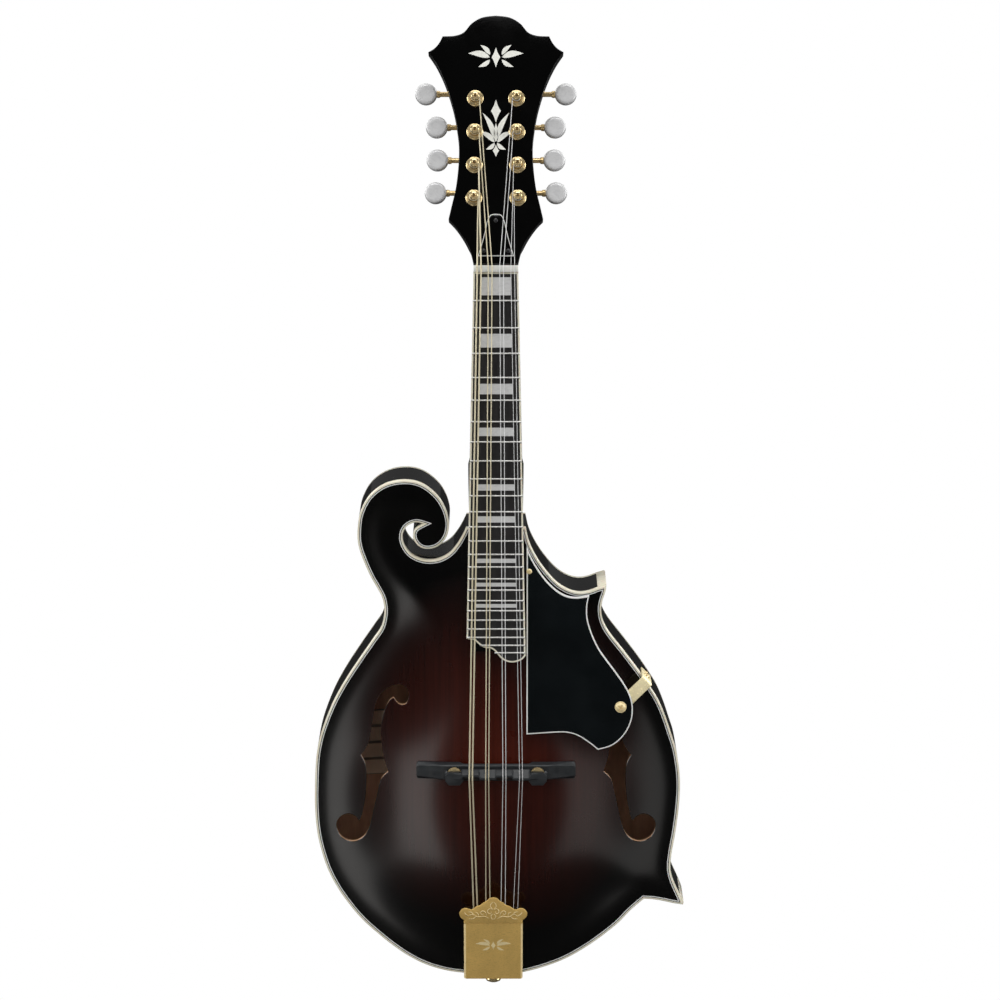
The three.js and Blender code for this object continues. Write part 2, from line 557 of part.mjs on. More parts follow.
// The pickguard floats over the soundboard, held at the board and by a bracket at the rim.
const GUARD_RUNS = [
  { step: 8, points: [[21.1, -188.5], [24, -195.5], [28.5, -203.6], [34.6, -212],
    [41.8, -219], [49, -222.9], [56, -223.8], [64.2, -222.6]] },
  { step: 10, points: [[64.2, -222.6], [62.9, -229], [62.9, -237], [64.4, -244], [67.7, -253],
    [72.3, -261.8], [82, -275.2], [87.3, -282.7], [91.5, -289.8], [93.9, -296.3],
    [94.6, -303], [93.8, -310], [90.6, -317.7], [85.4, -324.3], [79, -328.7], [70.6, -331.1]] },
  { step: 8, points: [[70.6, -331.1], [64.2, -326], [57, -321.3], [50.4, -319.2], [43, -318.8],
    [21.1, -320.2]] },
];
const GUARD_THICKNESS = 2.5;
const guardFront = (z) => -14.6 - 0.052 * (-188 - z);
const guardSheet = slab(joinRuns(GUARD_RUNS), 0, GUARD_THICKNESS);
const guardAt = guardSheet.attributes.position;
for (let i = 0; i < guardAt.count; i += 1) {
  guardAt.setY(i, guardAt.getY(i) + guardFront(guardAt.getZ(i)));
}
piece(body, "pickguard", guardSheet, "plastic");

const bracketSide = [[-16.1, -3], [-16.1, 24.3], [9, 24.3], [9, 25.5], [-17.2, 25.5], [-17.2, -3]];
const bracket = bar(bracketSide, 9).rotateY(Math.PI / 4);
piece(body, "pickguard_bracket", bracket.translate(86.6, 0, -301), "gold");

// A route made of straight stretches, whose sections fall on its stops.
class StopRoute extends THREE.CatmullRomCurve3 {
  constructor(stops) {
    super(stops, false, "catmullrom", 0);
  }

  getPointAt(u, target) {
    return this.getPoint(u, target);
  }

  getTangentAt(u, target) {
    return this.getTangent(u, target);
  }
}

// The strings run from their hooks over the saddle and the nut to the posts.
const HOOK_DEPTH = -16;
STRINGS.forEach(({ name, nut, saddle: saddleX, tail, radius }, i) => {
  const side = Math.sign(nut);
  const index = POST_OF_STRING[i];
  const overNut = NUT_FACE - GAP - radius;
  const atNut = new THREE.Vector3(nut, overNut, 0).applyMatrix4(neckFrame.matrix);
  const behindNut = new THREE.Vector3(nut, overNut, NUT_LENGTH).applyMatrix4(neckFrame.matrix);
  const atPost = new THREE.Vector3(postX(index, side) - side * (POST_RADIUS + 0.7),
    STRING_AT_POST[index], POST_HEIGHTS[index]).applyMatrix4(headFrame.matrix);
  const stops = [
    new THREE.Vector3(tail, HOOK_DEPTH, HOOK_Z - 1.6),
    new THREE.Vector3(saddleX, SADDLE_CREST - 2 * GAP - radius, BRIDGE_Z - 1.2),
    atNut,
    behindNut,
    atPost,
  ];
  const section = new THREE.Shape().absarc(0, 0, radius, 0, 2 * Math.PI);
  const tube = new THREE.ExtrudeGeometry(section,
    { steps: stops.length - 1, extrudePath: new StopRoute(stops), bevelEnabled: false,
      curveSegments: 3 });
  piece(body, name, tube, index < 2 && side < 0 ? "bronze" : "steel");
});

export default mandolin;
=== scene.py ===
# F-style mandolin: the visual model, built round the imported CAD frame.
# Shapes are worked out in millimetres in the body's, the neck's or the head's own frame, then
# placed in metres. The front faces -Y, the head points up (+Z) and +X is the treble side.
import math
import bmesh
import bpy
import numpy as np
from mathutils import Matrix, Vector
from mathutils.geometry import delaunay_2d_cdt


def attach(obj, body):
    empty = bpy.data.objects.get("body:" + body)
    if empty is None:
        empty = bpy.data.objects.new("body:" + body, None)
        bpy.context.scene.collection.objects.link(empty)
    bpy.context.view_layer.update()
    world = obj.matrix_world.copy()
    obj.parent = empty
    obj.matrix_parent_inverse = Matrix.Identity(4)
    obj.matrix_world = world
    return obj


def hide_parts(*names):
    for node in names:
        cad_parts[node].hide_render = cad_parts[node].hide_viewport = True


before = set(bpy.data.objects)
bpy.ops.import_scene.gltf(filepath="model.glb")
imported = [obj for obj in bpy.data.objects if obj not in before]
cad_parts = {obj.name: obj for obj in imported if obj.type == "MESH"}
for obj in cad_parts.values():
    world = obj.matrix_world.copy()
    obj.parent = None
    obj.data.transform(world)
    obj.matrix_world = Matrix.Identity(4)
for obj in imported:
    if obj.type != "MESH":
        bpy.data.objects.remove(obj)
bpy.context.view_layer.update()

# ---------------------------------------------------------------- dimensions (mm), as in the CAD
RIM_FRONT = -10
RIM_DEPTH = 39
GAP = 0.3
TOP_THICKNESS = 4.5
BACK_THICKNESS = 4
TOP_ARCH = 11.5
BACK_ARCH = 13
ARCH_REACH = 80
NECK_LEAN = math.radians(5)
HEAD_LEAN = math.radians(20)
BOARD_FACE = 0.3
BOARD_THICKNESS = 6
NECK_JOINT = -177
NECK_HALF_JOINT = 19
NECK_BACK_NUT = 20.4
NECK_BACK_GROWTH = 2.1
NUT_FACE = -1.1
NUT_LENGTH = 4.4
SCALE_LENGTH = 350
HEAD_THICKNESS = 16
HEADPLATE = 2
POST_HEIGHTS = [48, 70.9, 94, 117.3]
WORM_RISE = 7.4
WORM_DEPTH = 20.2
TOP_POST_X = 14.1
POST_SPLAY = 0.0122
BUTTON_CENTRES = [41.3, 40.1, 40.6, 48]
BRIDGE_Z = -347.5
BRIDGE_POST_X = 28.8
SADDLE_CREST = -32.4
TAIL_X = -1.9
TAIL_LEAN = math.radians(11.9)
TAIL_END = -502.2
PIN_DEPTH = 19.5
HOOK_Z = -466
HOOK_DEPTH = -16
BINDING = 1.3
BLACK_LINE = 0.5
WHITE_LINE = 0.6
RIM_TOP = 0.5

OUTLINE_RUNS = [
    [(20.5, -177.4), (23, -188), (28.3, -199), (34.7, -208.3), (42, -216.4), (49.5, -221.3),
     (57, -223.4), (64, -222.6), (70.5, -220.2), (76, -218.6)],
    [(76, -218.6), (75.6, -223), (73.8, -228.5), (72.8, -235), (73.5, -241.5), (76, -248),
     (80.2, -254.5), (88, -264.5), (99, -279.2), (107.5, -291.8), (113.4, -301.8), (118, -313),
     (122, -325), (125.4, -336), (128, -352), (128.5, -366), (127.4, -382), (125.5, -397),
     (123.2, -411), (122.3, -421), (123.2, -427.7), (125.5, -434.5), (129, -442.3),
     (131.7, -449.3)],
    [(131.7, -449.3), (124.8, -448.3), (117.7, -446.7), (111, -445.5), (104, -445)],
    [(104, -445), (94.5, -453.5), (84, -464.6), (65, -479.5), (45, -491), (20.5, -499),
     (-1, -501.3), (-22.5, -499.8), (-35, -498), (-48.3, -494), (-60.3, -488), (-72.5, -479.5),
     (-84.2, -469.6), (-95, -459.2), (-104.6, -447), (-111.8, -435.8), (-117.8, -423.6),
     (-122, -410.5), (-124.8, -398), (-126.3, -383), (-126.5, -366), (-125.5, -344),
     (-123, -329), (-118.4, -314.6), (-112.3, -300.2), (-104.3, -285.8), (-95, -271.4),
     (-85.3, -257.1), (-79.6, -248.5), (-77.4, -239.8), (-77.3, -233.3), (-78.7, -226.5),
     (-82.2, -219.6), (-86.6, -211.6), (-90.8, -201.8), (-94, -192.8), (-95.3, -185.5),
     (-95.2, -178), (-94.2, -170), (-92, -163.5), (-88.6, -157.2), (-84, -152),
     (-77.2, -147.4), (-69.4, -144.8), (-60.6, -144.2), (-52.7, -145.8), (-45.5, -150),
     (-38.8, -156.7), (-34.4, -164.8), (-32.3, -172.9), (-32.5, -178.5), (-34, -183.7),
     (-37.1, -188.2), (-41.5, -191.4), (-47, -192.5), (-52, -191.3), (-55.8, -187.4),
     (-57.2, -182.3), (-55.4, -177.8), (-50.2, -174.7)],
    [(-50.2, -174.7), (-53.7, -173.7), (-57.3, -174.1), (-61.5, -176.6), (-63.9, -180.9),
     (-64.2, -185.6), (-62.4, -191), (-58.3, -196.2), (-52.2, -199.4), (-45.9, -200.4),
     (-38.9, -199.4), (-31.9, -195.4), (-26.6, -189), (-23, -182.8), (-20.5, -177.4)],
    [(-20.5, -177.4), (20.5, -177.4)],
]
SOUNDBOX = [(20, -190), (29, -205), (38, -217), (49, -225.5), (62, -229), (69.5, -238),
            (73, -249), (84, -265), (96, -281), (109.5, -302), (118.5, -325), (124.5, -352),
            (125, -372), (121, -403), (115, -430), (99, -444.5), (81, -462.5), (44, -487.5),
            (-1, -497.5), (-46, -490.5), (-82, -467), (-102, -444.5), (-115, -421.5),
            (-122, -396), (-123.3, -366), (-120, -330), (-109, -301.5), (-92, -273),
            (-76.5, -248), (-74, -233), (-79, -217), (-84, -204), (-72, -200.5), (-58, -203.5),
            (-44, -205.5), (-31, -200), (-20, -190)]
F_HOLE_RUNS = [
    [(75, -350), (77.8, -341), (79.2, -332), (80, -322), (79, -312), (76, -303), (71.5, -297.5),
     (68.5, -301), (65.5, -302.3), (62, -301), (60.5, -295), (62.6, -290), (67.7, -288.2),
     (73.5, -290), (79.5, -295), (83.3, -302), (85.5, -313), (87, -323), (89.3, -332),
     (94, -339)],
    [(94, -339), (90.8, -346), (90.2, -357), (91.3, -371), (94.8, -386), (98, -383.8),
     (102.5, -382), (107.5, -383.5), (111, -387.5), (111.3, -393), (108.6, -398.8), (103, -402),
     (97, -401.5), (91.5, -397), (88, -389), (85.6, -378), (82.8, -366), (80.3, -356),
     (75, -350)],
]
HEAD_RUNS = [
    [(0, 175.3), (9.4, 174), (16.6, 169.8), (22, 163.6), (28.3, 161.2), (36.5, 160.8)],
    [(36.5, 160.8), (38.8, 156.2), (42, 152.4), (46.3, 149.7)],
    [(46.3, 149.7), (41.2, 142), (36.4, 132.3), (32.4, 121.5), (28.6, 108), (26.2, 94),
     (25.2, 82), (25.6, 69.5), (27.3, 55), (30, 43), (32.2, 33.5)],
    [(32.2, 33.5), (26.8, 27.6), (21.2, 19.2), (17.6, 11.5), (15.3, 2.5)],
]
COVER_HALF = [(0, 36.6), (3.8, 35.8), (6.1, 31.2), (7.2, 26), (8.9, 19), (12.3, 7.4)]
BOARD_HALF_NUT = 15.3
BOARD_HALF_END = 20.4
BOARD_END = [(20.4, -264.5), (18.2, -267.1), (15, -268.6), (11.3, -269.3), (7.6, -268.7),
             (4.5, -267.1), (1.8, -264.5), (-0.8, -261.3), (-3.5, -259.5), (-7.1, -259.1),
             (-9.7, -258.1), (-12.4, -255.9), (-15, -253.6), (-17.8, -253.2), (-20.2, -252.6)]
GUARD_RUNS = [
    [(21.1, -188.5), (24, -195.5), (28.5, -203.6), (34.6, -212), (41.8, -219), (49, -222.9),
     (56, -223.8), (64.2, -222.6)],
    [(64.2, -222.6), (62.9, -229), (62.9, -237), (64.4, -244), (67.7, -253), (72.3, -261.8),
     (82, -275.2), (87.3, -282.7), (91.5, -289.8), (93.9, -296.3), (94.6, -303), (93.8, -310),
     (90.6, -317.7), (85.4, -324.3), (79, -328.7), (70.6, -331.1)],
    [(70.6, -331.1), (64.2, -326), (57, -321.3), (50.4, -319.2), (43, -318.8), (21.1, -320.2)],
    [(21.1, -320.2), (21.1, -188.5)],
]
CROWN_HALF = [
    [(0, 0), (2.6, -0.8), (4.7, -3), (7, -4.4)],
    [(7, -4.4), (9, -6.3), (11.6, -7.3), (14, -9.2), (16, -10)],
    [(16, -10), (17.8, -8.9), (20.5, -8.8), (22.8, -10.6), (23.7, -13.2), (22.5, -16.4),
     (19.6, -18.6)],
    [(19.6, -18.6), (20.6, -21)],
]
# name, x at the nut, at the saddle and at the tail, radius, post
STRINGS = [
    ("string_g_outer", -12.7, -18.4, -15.1, 0.5, 0),
    ("string_g_inner", -10.1, -16.3, -12.3, 0.5, 1),
    ("string_d_outer", -5.2, -7.1, -7.1, 0.33, 2),
    ("string_d_inner", -2.6, -5, -4, 0.33, 3),
    ("string_a_inner", 2.6, 4.8, 3.2, 0.2, 3),
    ("string_a_outer", 5.2, 6.9, 6.4, 0.2, 2),
    ("string_e_inner", 10.2, 16.3, 11.3, 0.15, 1),
    ("string_e_outer", 12.7, 18.4, 14.5, 0.15, 0),
]
STRING_AT_POST = [-3.6, -6.2, -5.4, -5.4]
SIDES = [("bass", -1), ("treble", 1)]

# ---------------------------------------------------------------- frames
shift = Matrix.Translation
BODY = shift((0, RIM_FRONT, 0))
NECK = BODY @ shift((0, BOARD_FACE, 0)) @ Matrix.Rotation(-NECK_LEAN, 4, "X")
HEAD = BODY @ shift((0, 1.3, 3)) @ Matrix.Rotation(-HEAD_LEAN, 4, "X")
TAIL = BODY @ shift((TAIL_X, 0, 0))
COVER = BODY @ shift((TAIL_X, -26, -437)) @ Matrix.Rotation(TAIL_LEAN, 4, "X")


# ---------------------------------------------------------------- lines and rings
def even(line, step=None, count=None):
    """The same line with points at even distances."""
    run = np.concatenate([[0], np.cumsum(np.linalg.norm(np.diff(line, axis=0), axis=1))])
    count = count or max(2, round(run[-1] / step))
    at = np.linspace(0, run[-1], count + 1)
    return np.column_stack([np.interp(at, run, line[:, k]) for k in range(line.shape[1])])


def spline(points, step, closed=False):
    """A smooth line through the points; a closed one leaves out the repeated last point."""
    p = np.array(points, float)
    q = np.vstack([p[-1], p, p[0], p[1]]) if closed else np.vstack([p[0], p, p[-1]])
    t = np.linspace(0, 1, 20, endpoint=False)[:, None]
    parts = []
    for a, b, c, d in zip(q, q[1:], q[2:], q[3:]):
        m, n = (c - a) / 2, (d - b) / 2
        parts.append((2 * b - 2 * c + m + n) * t**3 + (3 * c - 3 * b - 2 * m - n) * t**2 + m * t + b)
    line = even(np.vstack([*parts, q[-2]]), step)
    return line[:-1] if closed else line


def offset_line(line, distance):
    """The line moved to its right-hand side, which is inwards on a clockwise outline."""
    t = np.gradient(line, axis=0)
    t /= np.linalg.norm(t, axis=1)[:, None]
    return line + distance * np.column_stack([t[:, 1], -t[:, 0]])


def crossing(a, b, c, d):
    """Where the stretches a-b and c-d cross, or None."""
    r, s, w = b - a, d - c, c - a
    det = r[0] * s[1] - r[1] * s[0]
    if abs(det) < 1e-9:
        return None
    u = (w[0] * s[1] - w[1] * s[0]) / det
    v = (w[0] * r[1] - w[1] * r[0]) / det
    return a + u * r if 0 <= u <= 1 and 0 <= v <= 1 else None


def meet(a, b, reach):
    """Two lines trimmed to where they cross, or run on to a shared mitre."""
    near = 16
    for i in range(len(a) - 2, max(-1, len(a) - near), -1):
        for j in range(min(len(b) - 1, near)):
            hit = crossing(a[i], a[i + 1], b[j], b[j + 1])
            if hit is not None:
                return np.vstack([a[: i + 1], hit]), np.vstack([hit, b[j + 1:]])
    ta, tb = a[-1] - a[-2], b[0] - b[1]
    ta, tb = ta / np.linalg.norm(ta), tb / np.linalg.norm(tb)
    det = ta[0] * tb[1] - ta[1] * tb[0]
    tip = (a[-1] + b[0]) / 2
    if abs(det) > 0.02:
        w = b[0] - a[-1]
        along = (w[0] * tb[1] - w[1] * tb[0]) / det
        if 0 < along < 3.5 * abs(reach):
            tip = a[-1] + along * ta
    return np.vstack([a, tip]), np.vstack([tip, b])


def polygon(corners, step=None, count=None):
    """A closed ring of straight sides with points along them."""
    p = np.array(corners, float)
    return np.vstack([even(np.vstack([a, b]), step, count)[:-1] for a, b in zip(p, np.roll(p, -1, 0))])


class Outline:
    """A clockwise outline of smooth runs that meet in corners, and the rings inset from it."""

    def __init__(self, runs, step):
        self.lines = [spline(run, step) for run in runs]

    def ring(self, inset=0.0):
        lines = list(self.lines)
        if inset:
            lines = [offset_line(line, inset) for line in lines]
            for i in range(len(lines)):
                j = (i + 1) % len(lines)
                lines[i], lines[j] = meet(lines[i], lines[j], inset)
        counts = [len(line) - 1 for line in self.lines]
        return np.vstack([even(line, count=n)[:-1] for line, n in zip(lines, counts)])


def mirrored(runs):
    """Runs down the right side, then across the foot, then their mirror image up the left."""
    x, z = runs[-1][-1]
    left = [[(-x, z) for x, z in reversed(run)] for run in reversed(runs)]
    return [*runs, [(x, z), (-x, z)], *left]


def area(ring):
    x, z = ring.T
    return 0.5 * np.sum(x * np.roll(z, -1) - np.roll(x, -1) * z)


def shrink(ring, distance):
    """A closed ring moved inwards point by point; meant for small distances."""
    a = ring - np.roll(ring, 1, axis=0)
    b = np.roll(ring, -1, axis=0) - ring
    a /= np.linalg.norm(a, axis=1)[:, None]
    b /= np.linalg.norm(b, axis=1)[:, None]
    n = np.column_stack([a[:, 1] + b[:, 1], -a[:, 0] - b[:, 0]])
    n /= np.linalg.norm(n, axis=1)[:, None] + 1e-9
    n *= 1 if area(ring) < 0 else -1
    cosine = np.abs(n[:, 0] * a[:, 1] - n[:, 1] * a[:, 0]).clip(0.45)
    return ring + n * (distance / cosine)[:, None]


def inside(points, ring):
    """True for each point within the ring."""
    x, z = points[:, :1], points[:, 1:]
    x0, z0 = ring.T
    x1, z1 = np.roll(ring, -1, axis=0).T
    with np.errstate(divide="ignore", invalid="ignore"):
        hit = ((z0 > z) != (z1 > z)) & (x < (x1 - x0) * (z - z0) / (z1 - z0) + x0)
    return hit.sum(axis=1) % 2 == 1


def within(points, rings):
    """True for each point inside the first ring and outside the others."""
    keep = inside(points, rings[0])
    for hole in rings[1:]:
        keep &= ~inside(points, hole)
    return keep


def distance_to(points, ring):
    """Distance from each point to the nearest of the ring's points."""
    return np.sqrt(((points[:, None] - ring[None]) ** 2).sum(axis=2).min(axis=1))


def angles(count):
    return np.linspace(0, 2 * np.pi, count, endpoint=False)


def circle(x, z, radius, count=32):
    a = angles(count)
    return np.column_stack([x + radius * np.cos(a), z - radius * np.sin(a)])


# ---------------------------------------------------------------- shapes: (points, faces)
def join(*shapes):
    points, faces, base = [], [], 0
    for p, f in shapes:
        points.append(np.asarray(p, float))
        faces += [[i + base for i in face] for face in f]
        base += len(p)
    return np.vstack(points), faces


def moved(shape, matrix):
    points, faces = shape
    m = np.array(matrix, float)
    return points @ m[:3, :3].T + m[:3, 3], faces


def skin(rows, closed=False):
    """Faces between rows of equally many points, as indices into the stacked rows; closed
    joins the last row to the first."""
    n, m = len(rows[0]), len(rows)
    return [[i * n + j, i * n + (j + 1) % n, (i + 1) % m * n + (j + 1) % n, (i + 1) % m * n + j]
            for i in range(m if closed else m - 1) for j in range(n)]


def hoop(rows):
    """A closed body through loops of points whose last loop meets the first."""
    return np.vstack(rows), skin(rows, closed=True)


def loft(rows):
    """A closed body through loops of points, with flat ends."""
    rows = [np.asarray(row, float) for row in rows]
    n = len(rows[0])
    faces = skin(rows)
    faces.append(list(range(n))[::-1])
    faces.append([(len(rows) - 1) * n + j for j in range(n)])
    return np.vstack(rows), faces


def lathe(profile, segments=48, ring=False):
    """A body turned round the y axis, from (radius, y) pairs. Both ends are on the axis, unless
    it is a ring, whose pairs close on themselves."""
    a = angles(segments)
    rows = [np.column_stack([r * np.cos(a), np.full(segments, y), r * np.sin(a)]) for r, y in profile]
    return np.vstack(rows), skin(rows, closed=ring)


def triangulate(rings, more=()):
    """Triangles between an outer ring and its holes, through more points if there are any: the
    points, the triangles and, for each point, which of the given ones it was."""
    edges, base = [], 0
    for ring in rings:
        edges += [(base + k, base + (k + 1) % len(ring)) for k in range(len(ring))]
        base += len(ring)
    given = [Vector(p) for p in np.vstack([*rings, *more])]
    points, _, triangles, sources, _, _ = delaunay_2d_cdt(given, edges, [], 1, 1e-6)
    points = np.array([tuple(p) for p in points])
    triangles = np.array([list(triangle) for triangle in triangles])
    return points, triangles[within(points[triangles].mean(axis=1), rings)], sources


def fill(rings):
    """Triangles between an outer ring and its holes, as indices into the stacked rings."""
    flat = np.vstack(rings)
    points, triangles, sources = triangulate(rings)
    source = [given[0] if given else int(np.argmin(np.linalg.norm(flat - point, axis=1)))
              for given, point in zip(sources, points)]
    named = [[source[k] for k in triangle] for triangle in triangles]
    return [face for face in named if len(set(face)) == 3]


def depth_at(depth, ring):
    return depth(ring[:, 0], ring[:, 1]) if callable(depth) else np.full(len(ring), float(depth))


def prism(ring, front, back, holes=(), edge=0.0, steps=3):
    """A plate from a ring of (x, z) between two depths, with rounded edges. A depth may be a
    function of x and z."""
    loops = [(np.asarray(ring, float), 1)] + [(np.asarray(hole, float), -1) for hole in holes]
    turns = np.linspace(0, math.pi / 2, steps + 1) if edge else [math.pi / 2]
    levels = [(edge * (1 - math.sin(a)), edge * (1 - math.cos(a)), front, 1) for a in turns]
    levels += [(inset, drop, back, -1) for inset, drop, _, _ in levels[::-1]]
    points, faces, caps, base = [], [], [[], []], 0
    for loop, way in loops:
        rows = []
        for inset, drop, depth, sign in levels:
            at_ = shrink(loop, way * inset) if inset else loop
            rows.append(np.column_stack([at_[:, 0], depth_at(depth, at_) + sign * drop, at_[:, 1]]))
        points += rows
        faces += [[i + base for i in face] for face in skin(rows)]
        caps[0].append((base, rows[0]))
        base += len(rows) * len(loop)
        caps[1].append((base - len(loop), rows[-1]))
    for cap in caps:
        index = [start + k for start, row in cap for k in range(len(row))]
        faces += [[index[k] for k in face] for face in fill([row[:, [0, 2]] for _, row in cap])]
    return np.vstack(points), faces


def sheet(ring, front, back, holes=(), cell=3.5, lip=0.0):
    """A curved plate: like prism, but its faces have points all over, and a lip bevels the
    front edges of its holes."""
    rings = [np.asarray(r, float) for r in (ring, *holes)]
    wide = [rings[0], *[shrink(r, -lip) for r in rings[1:]]]
    low, high = rings[0].min(axis=0), rings[0].max(axis=0)
    grid = np.array([(x + (k % 2) * cell / 2, z)
                     for k, z in enumerate(np.arange(low[1], high[1], cell * 0.866))
                     for x in np.arange(low[0], high[0], cell)])
    grid = grid[within(grid, wide)]
    grid = grid[distance_to(grid, np.vstack(wide)) > 0.55 * cell]
    flat, triangles, sources = triangulate(wide, [grid])
    n = len(flat)
    points = [np.column_stack([flat[:, 0], depth_at(depth, flat), flat[:, 1]])
              for depth in (front, back)]
    faces = [list(f) for f in triangles] + [[n + k for k in f[::-1]] for f in triangles]
    place_of = {k: i for i, given in enumerate(sources) for k in given}
    base = 0
    for number, r in enumerate(rings):
        top = [place_of[base + k] for k in range(len(r))]
        base += len(r)
        levels = [top, [n + k for k in top]]
        if lip and number:
            start = sum(len(part) for part in points)
            points.append(np.column_stack([r[:, 0], depth_at(front, r) + lip, r[:, 1]]))
            levels.insert(1, list(range(start, start + len(r))))
        for a, b in zip(levels, levels[1:]):
            faces += [[a[k - 1], a[k], b[k], b[k - 1]] for k in range(len(r))]
    return np.vstack(points), faces


def band(outline, section):
    """A closed moulding that follows an outline; section is a loop of (inset, y) pairs."""
    rings = {inset: outline.ring(inset) for inset in {pair[0] for pair in section}}
    rows = [np.column_stack([rings[i][:, 0], np.full(len(rings[i]), y), rings[i][:, 1]])
            for i, y in section]
    return hoop(rows)


def tube(path, radius, sides=12, closed=False):
    """A round tube along a line; radius may be a list along it."""
    path = np.asarray(path, float)
    n = len(path)
    radii = np.broadcast_to(radius, n)
    t = np.gradient(path, axis=0)
    if closed:
        t = np.roll(path, -1, axis=0) - np.roll(path, 1, axis=0)
    t /= np.linalg.norm(t, axis=1)[:, None]
    up = np.cross(t[0], (0.3, 1, 0.2))
    rows = []
    a = angles(sides)[:, None]
    for k in range(n):
        up = up - t[k] * np.dot(up, t[k])
        up /= np.linalg.norm(up)
        side = np.cross(t[k], up)
        rows.append(path[k] + radii[k] * (np.cos(a) * up + np.sin(a) * side))
    return hoop(rows) if closed else loft(rows)


def block(low, high):
    (a, b, c), (d, e, f) = low, high
    points = [(a, b, c), (d, b, c), (d, e, c), (a, e, c), (a, b, f), (d, b, f), (d, e, f), (a, e, f)]
    faces = [[0, 1, 2, 3], [4, 7, 6, 5], [0, 4, 5, 1], [1, 5, 6, 2], [2, 6, 7, 3], [3, 7, 4, 0]]
    return np.array(points, float), faces


def rectangle(left, low, right, high):
    return np.array([(left, high), (right, high), (right, low), (left, low)], float)


def side_bar(ring, width):
    """A ring of (y, z) made into a bar of the given width across x."""
    points, faces = prism(ring, -width / 2, width / 2)
    return points[:, [1, 0, 2]], faces


# ---------------------------------------------------------------- pieces
def mesh_object(name, shape, bevel=0.0):
    """An object from a shape, with its faces turned outwards and its sharp edges bevelled."""
    mesh = bpy.data.meshes.new(name)
    mesh.from_pydata(shape[0].tolist(), [], shape[1])
    bm = bmesh.new()
    bm.from_mesh(mesh)
    bmesh.ops.remove_doubles(bm, verts=bm.verts, dist=1e-7)
    bmesh.ops.recalc_face_normals(bm, faces=bm.faces)
    if bevel:
        sharp = [e for e in bm.edges if len(e.link_faces) == 2 and e.calc_face_angle(0) > 0.6]
        bmesh.ops.bevel(bm, geom=sharp, offset=bevel, segments=2, profile=0.5, affect="EDGES",
                        clamp_overlap=True)
    bm.to_mesh(mesh)
    bm.free()
    obj = bpy.data.objects.new(name, mesh)
    bpy.context.scene.collection.objects.link(obj)
    return obj


def piece(name, shape, material, place=BODY, body="instrument", replaces=None, bevel=0.0,
          angle=35, second=None):
    """Makes a mesh object in metres from a shape in millimetres, and ties it to the frame. A
    second material goes on the faces that its test of (normal, centre) picks."""
    points, faces = moved(shape, place)
    obj = mesh_object(name, (points / 1000, faces), bevel / 1000)
    mesh = obj.data
    for polygon in mesh.polygons:
        polygon.use_smooth = True
    mesh.set_sharp_from_angle(angle=math.radians(angle))
    mesh.materials.append(material)
    if second:
        mesh.materials.append(second[0])
        for polygon in mesh.polygons:
            polygon.material_index = int(second[1](polygon.normal, polygon.center))
    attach(obj, body)
    if replaces:
        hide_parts(replaces)


def carve(shape, *tools):
    """A shape with others cut out of it."""
    target, *cutters = [mesh_object("carving", s) for s in (shape, *tools)]
    for cutter in cutters:
        modifier = target.modifiers.new("cut", "BOOLEAN")
        modifier.operation = "DIFFERENCE"
        modifier.solver = "EXACT"
        modifier.object = cutter
    result = target.evaluated_get(bpy.context.evaluated_depsgraph_get()).to_mesh()
    points = np.array([tuple(v.co) for v in result.vertices])
    faces = [list(p.vertices) for p in result.polygons]
    for obj in [target, *cutters]:
        bpy.data.objects.remove(obj)
    return points, faces


# ---------------------------------------------------------------- materials
def add_node(tree, kind, inputs=None, **settings):
    """A shader node; its inputs are sockets to link or values to set."""
    made = tree.nodes.new("ShaderNode" + kind)
    for key, value in settings.items():
        setattr(made, key, value)
    for key, value in (inputs or {}).items():
        if isinstance(value, bpy.types.NodeSocket):
            tree.links.new(value, made.inputs[key])
        else:
            made.inputs[key].default_value = value
    return made


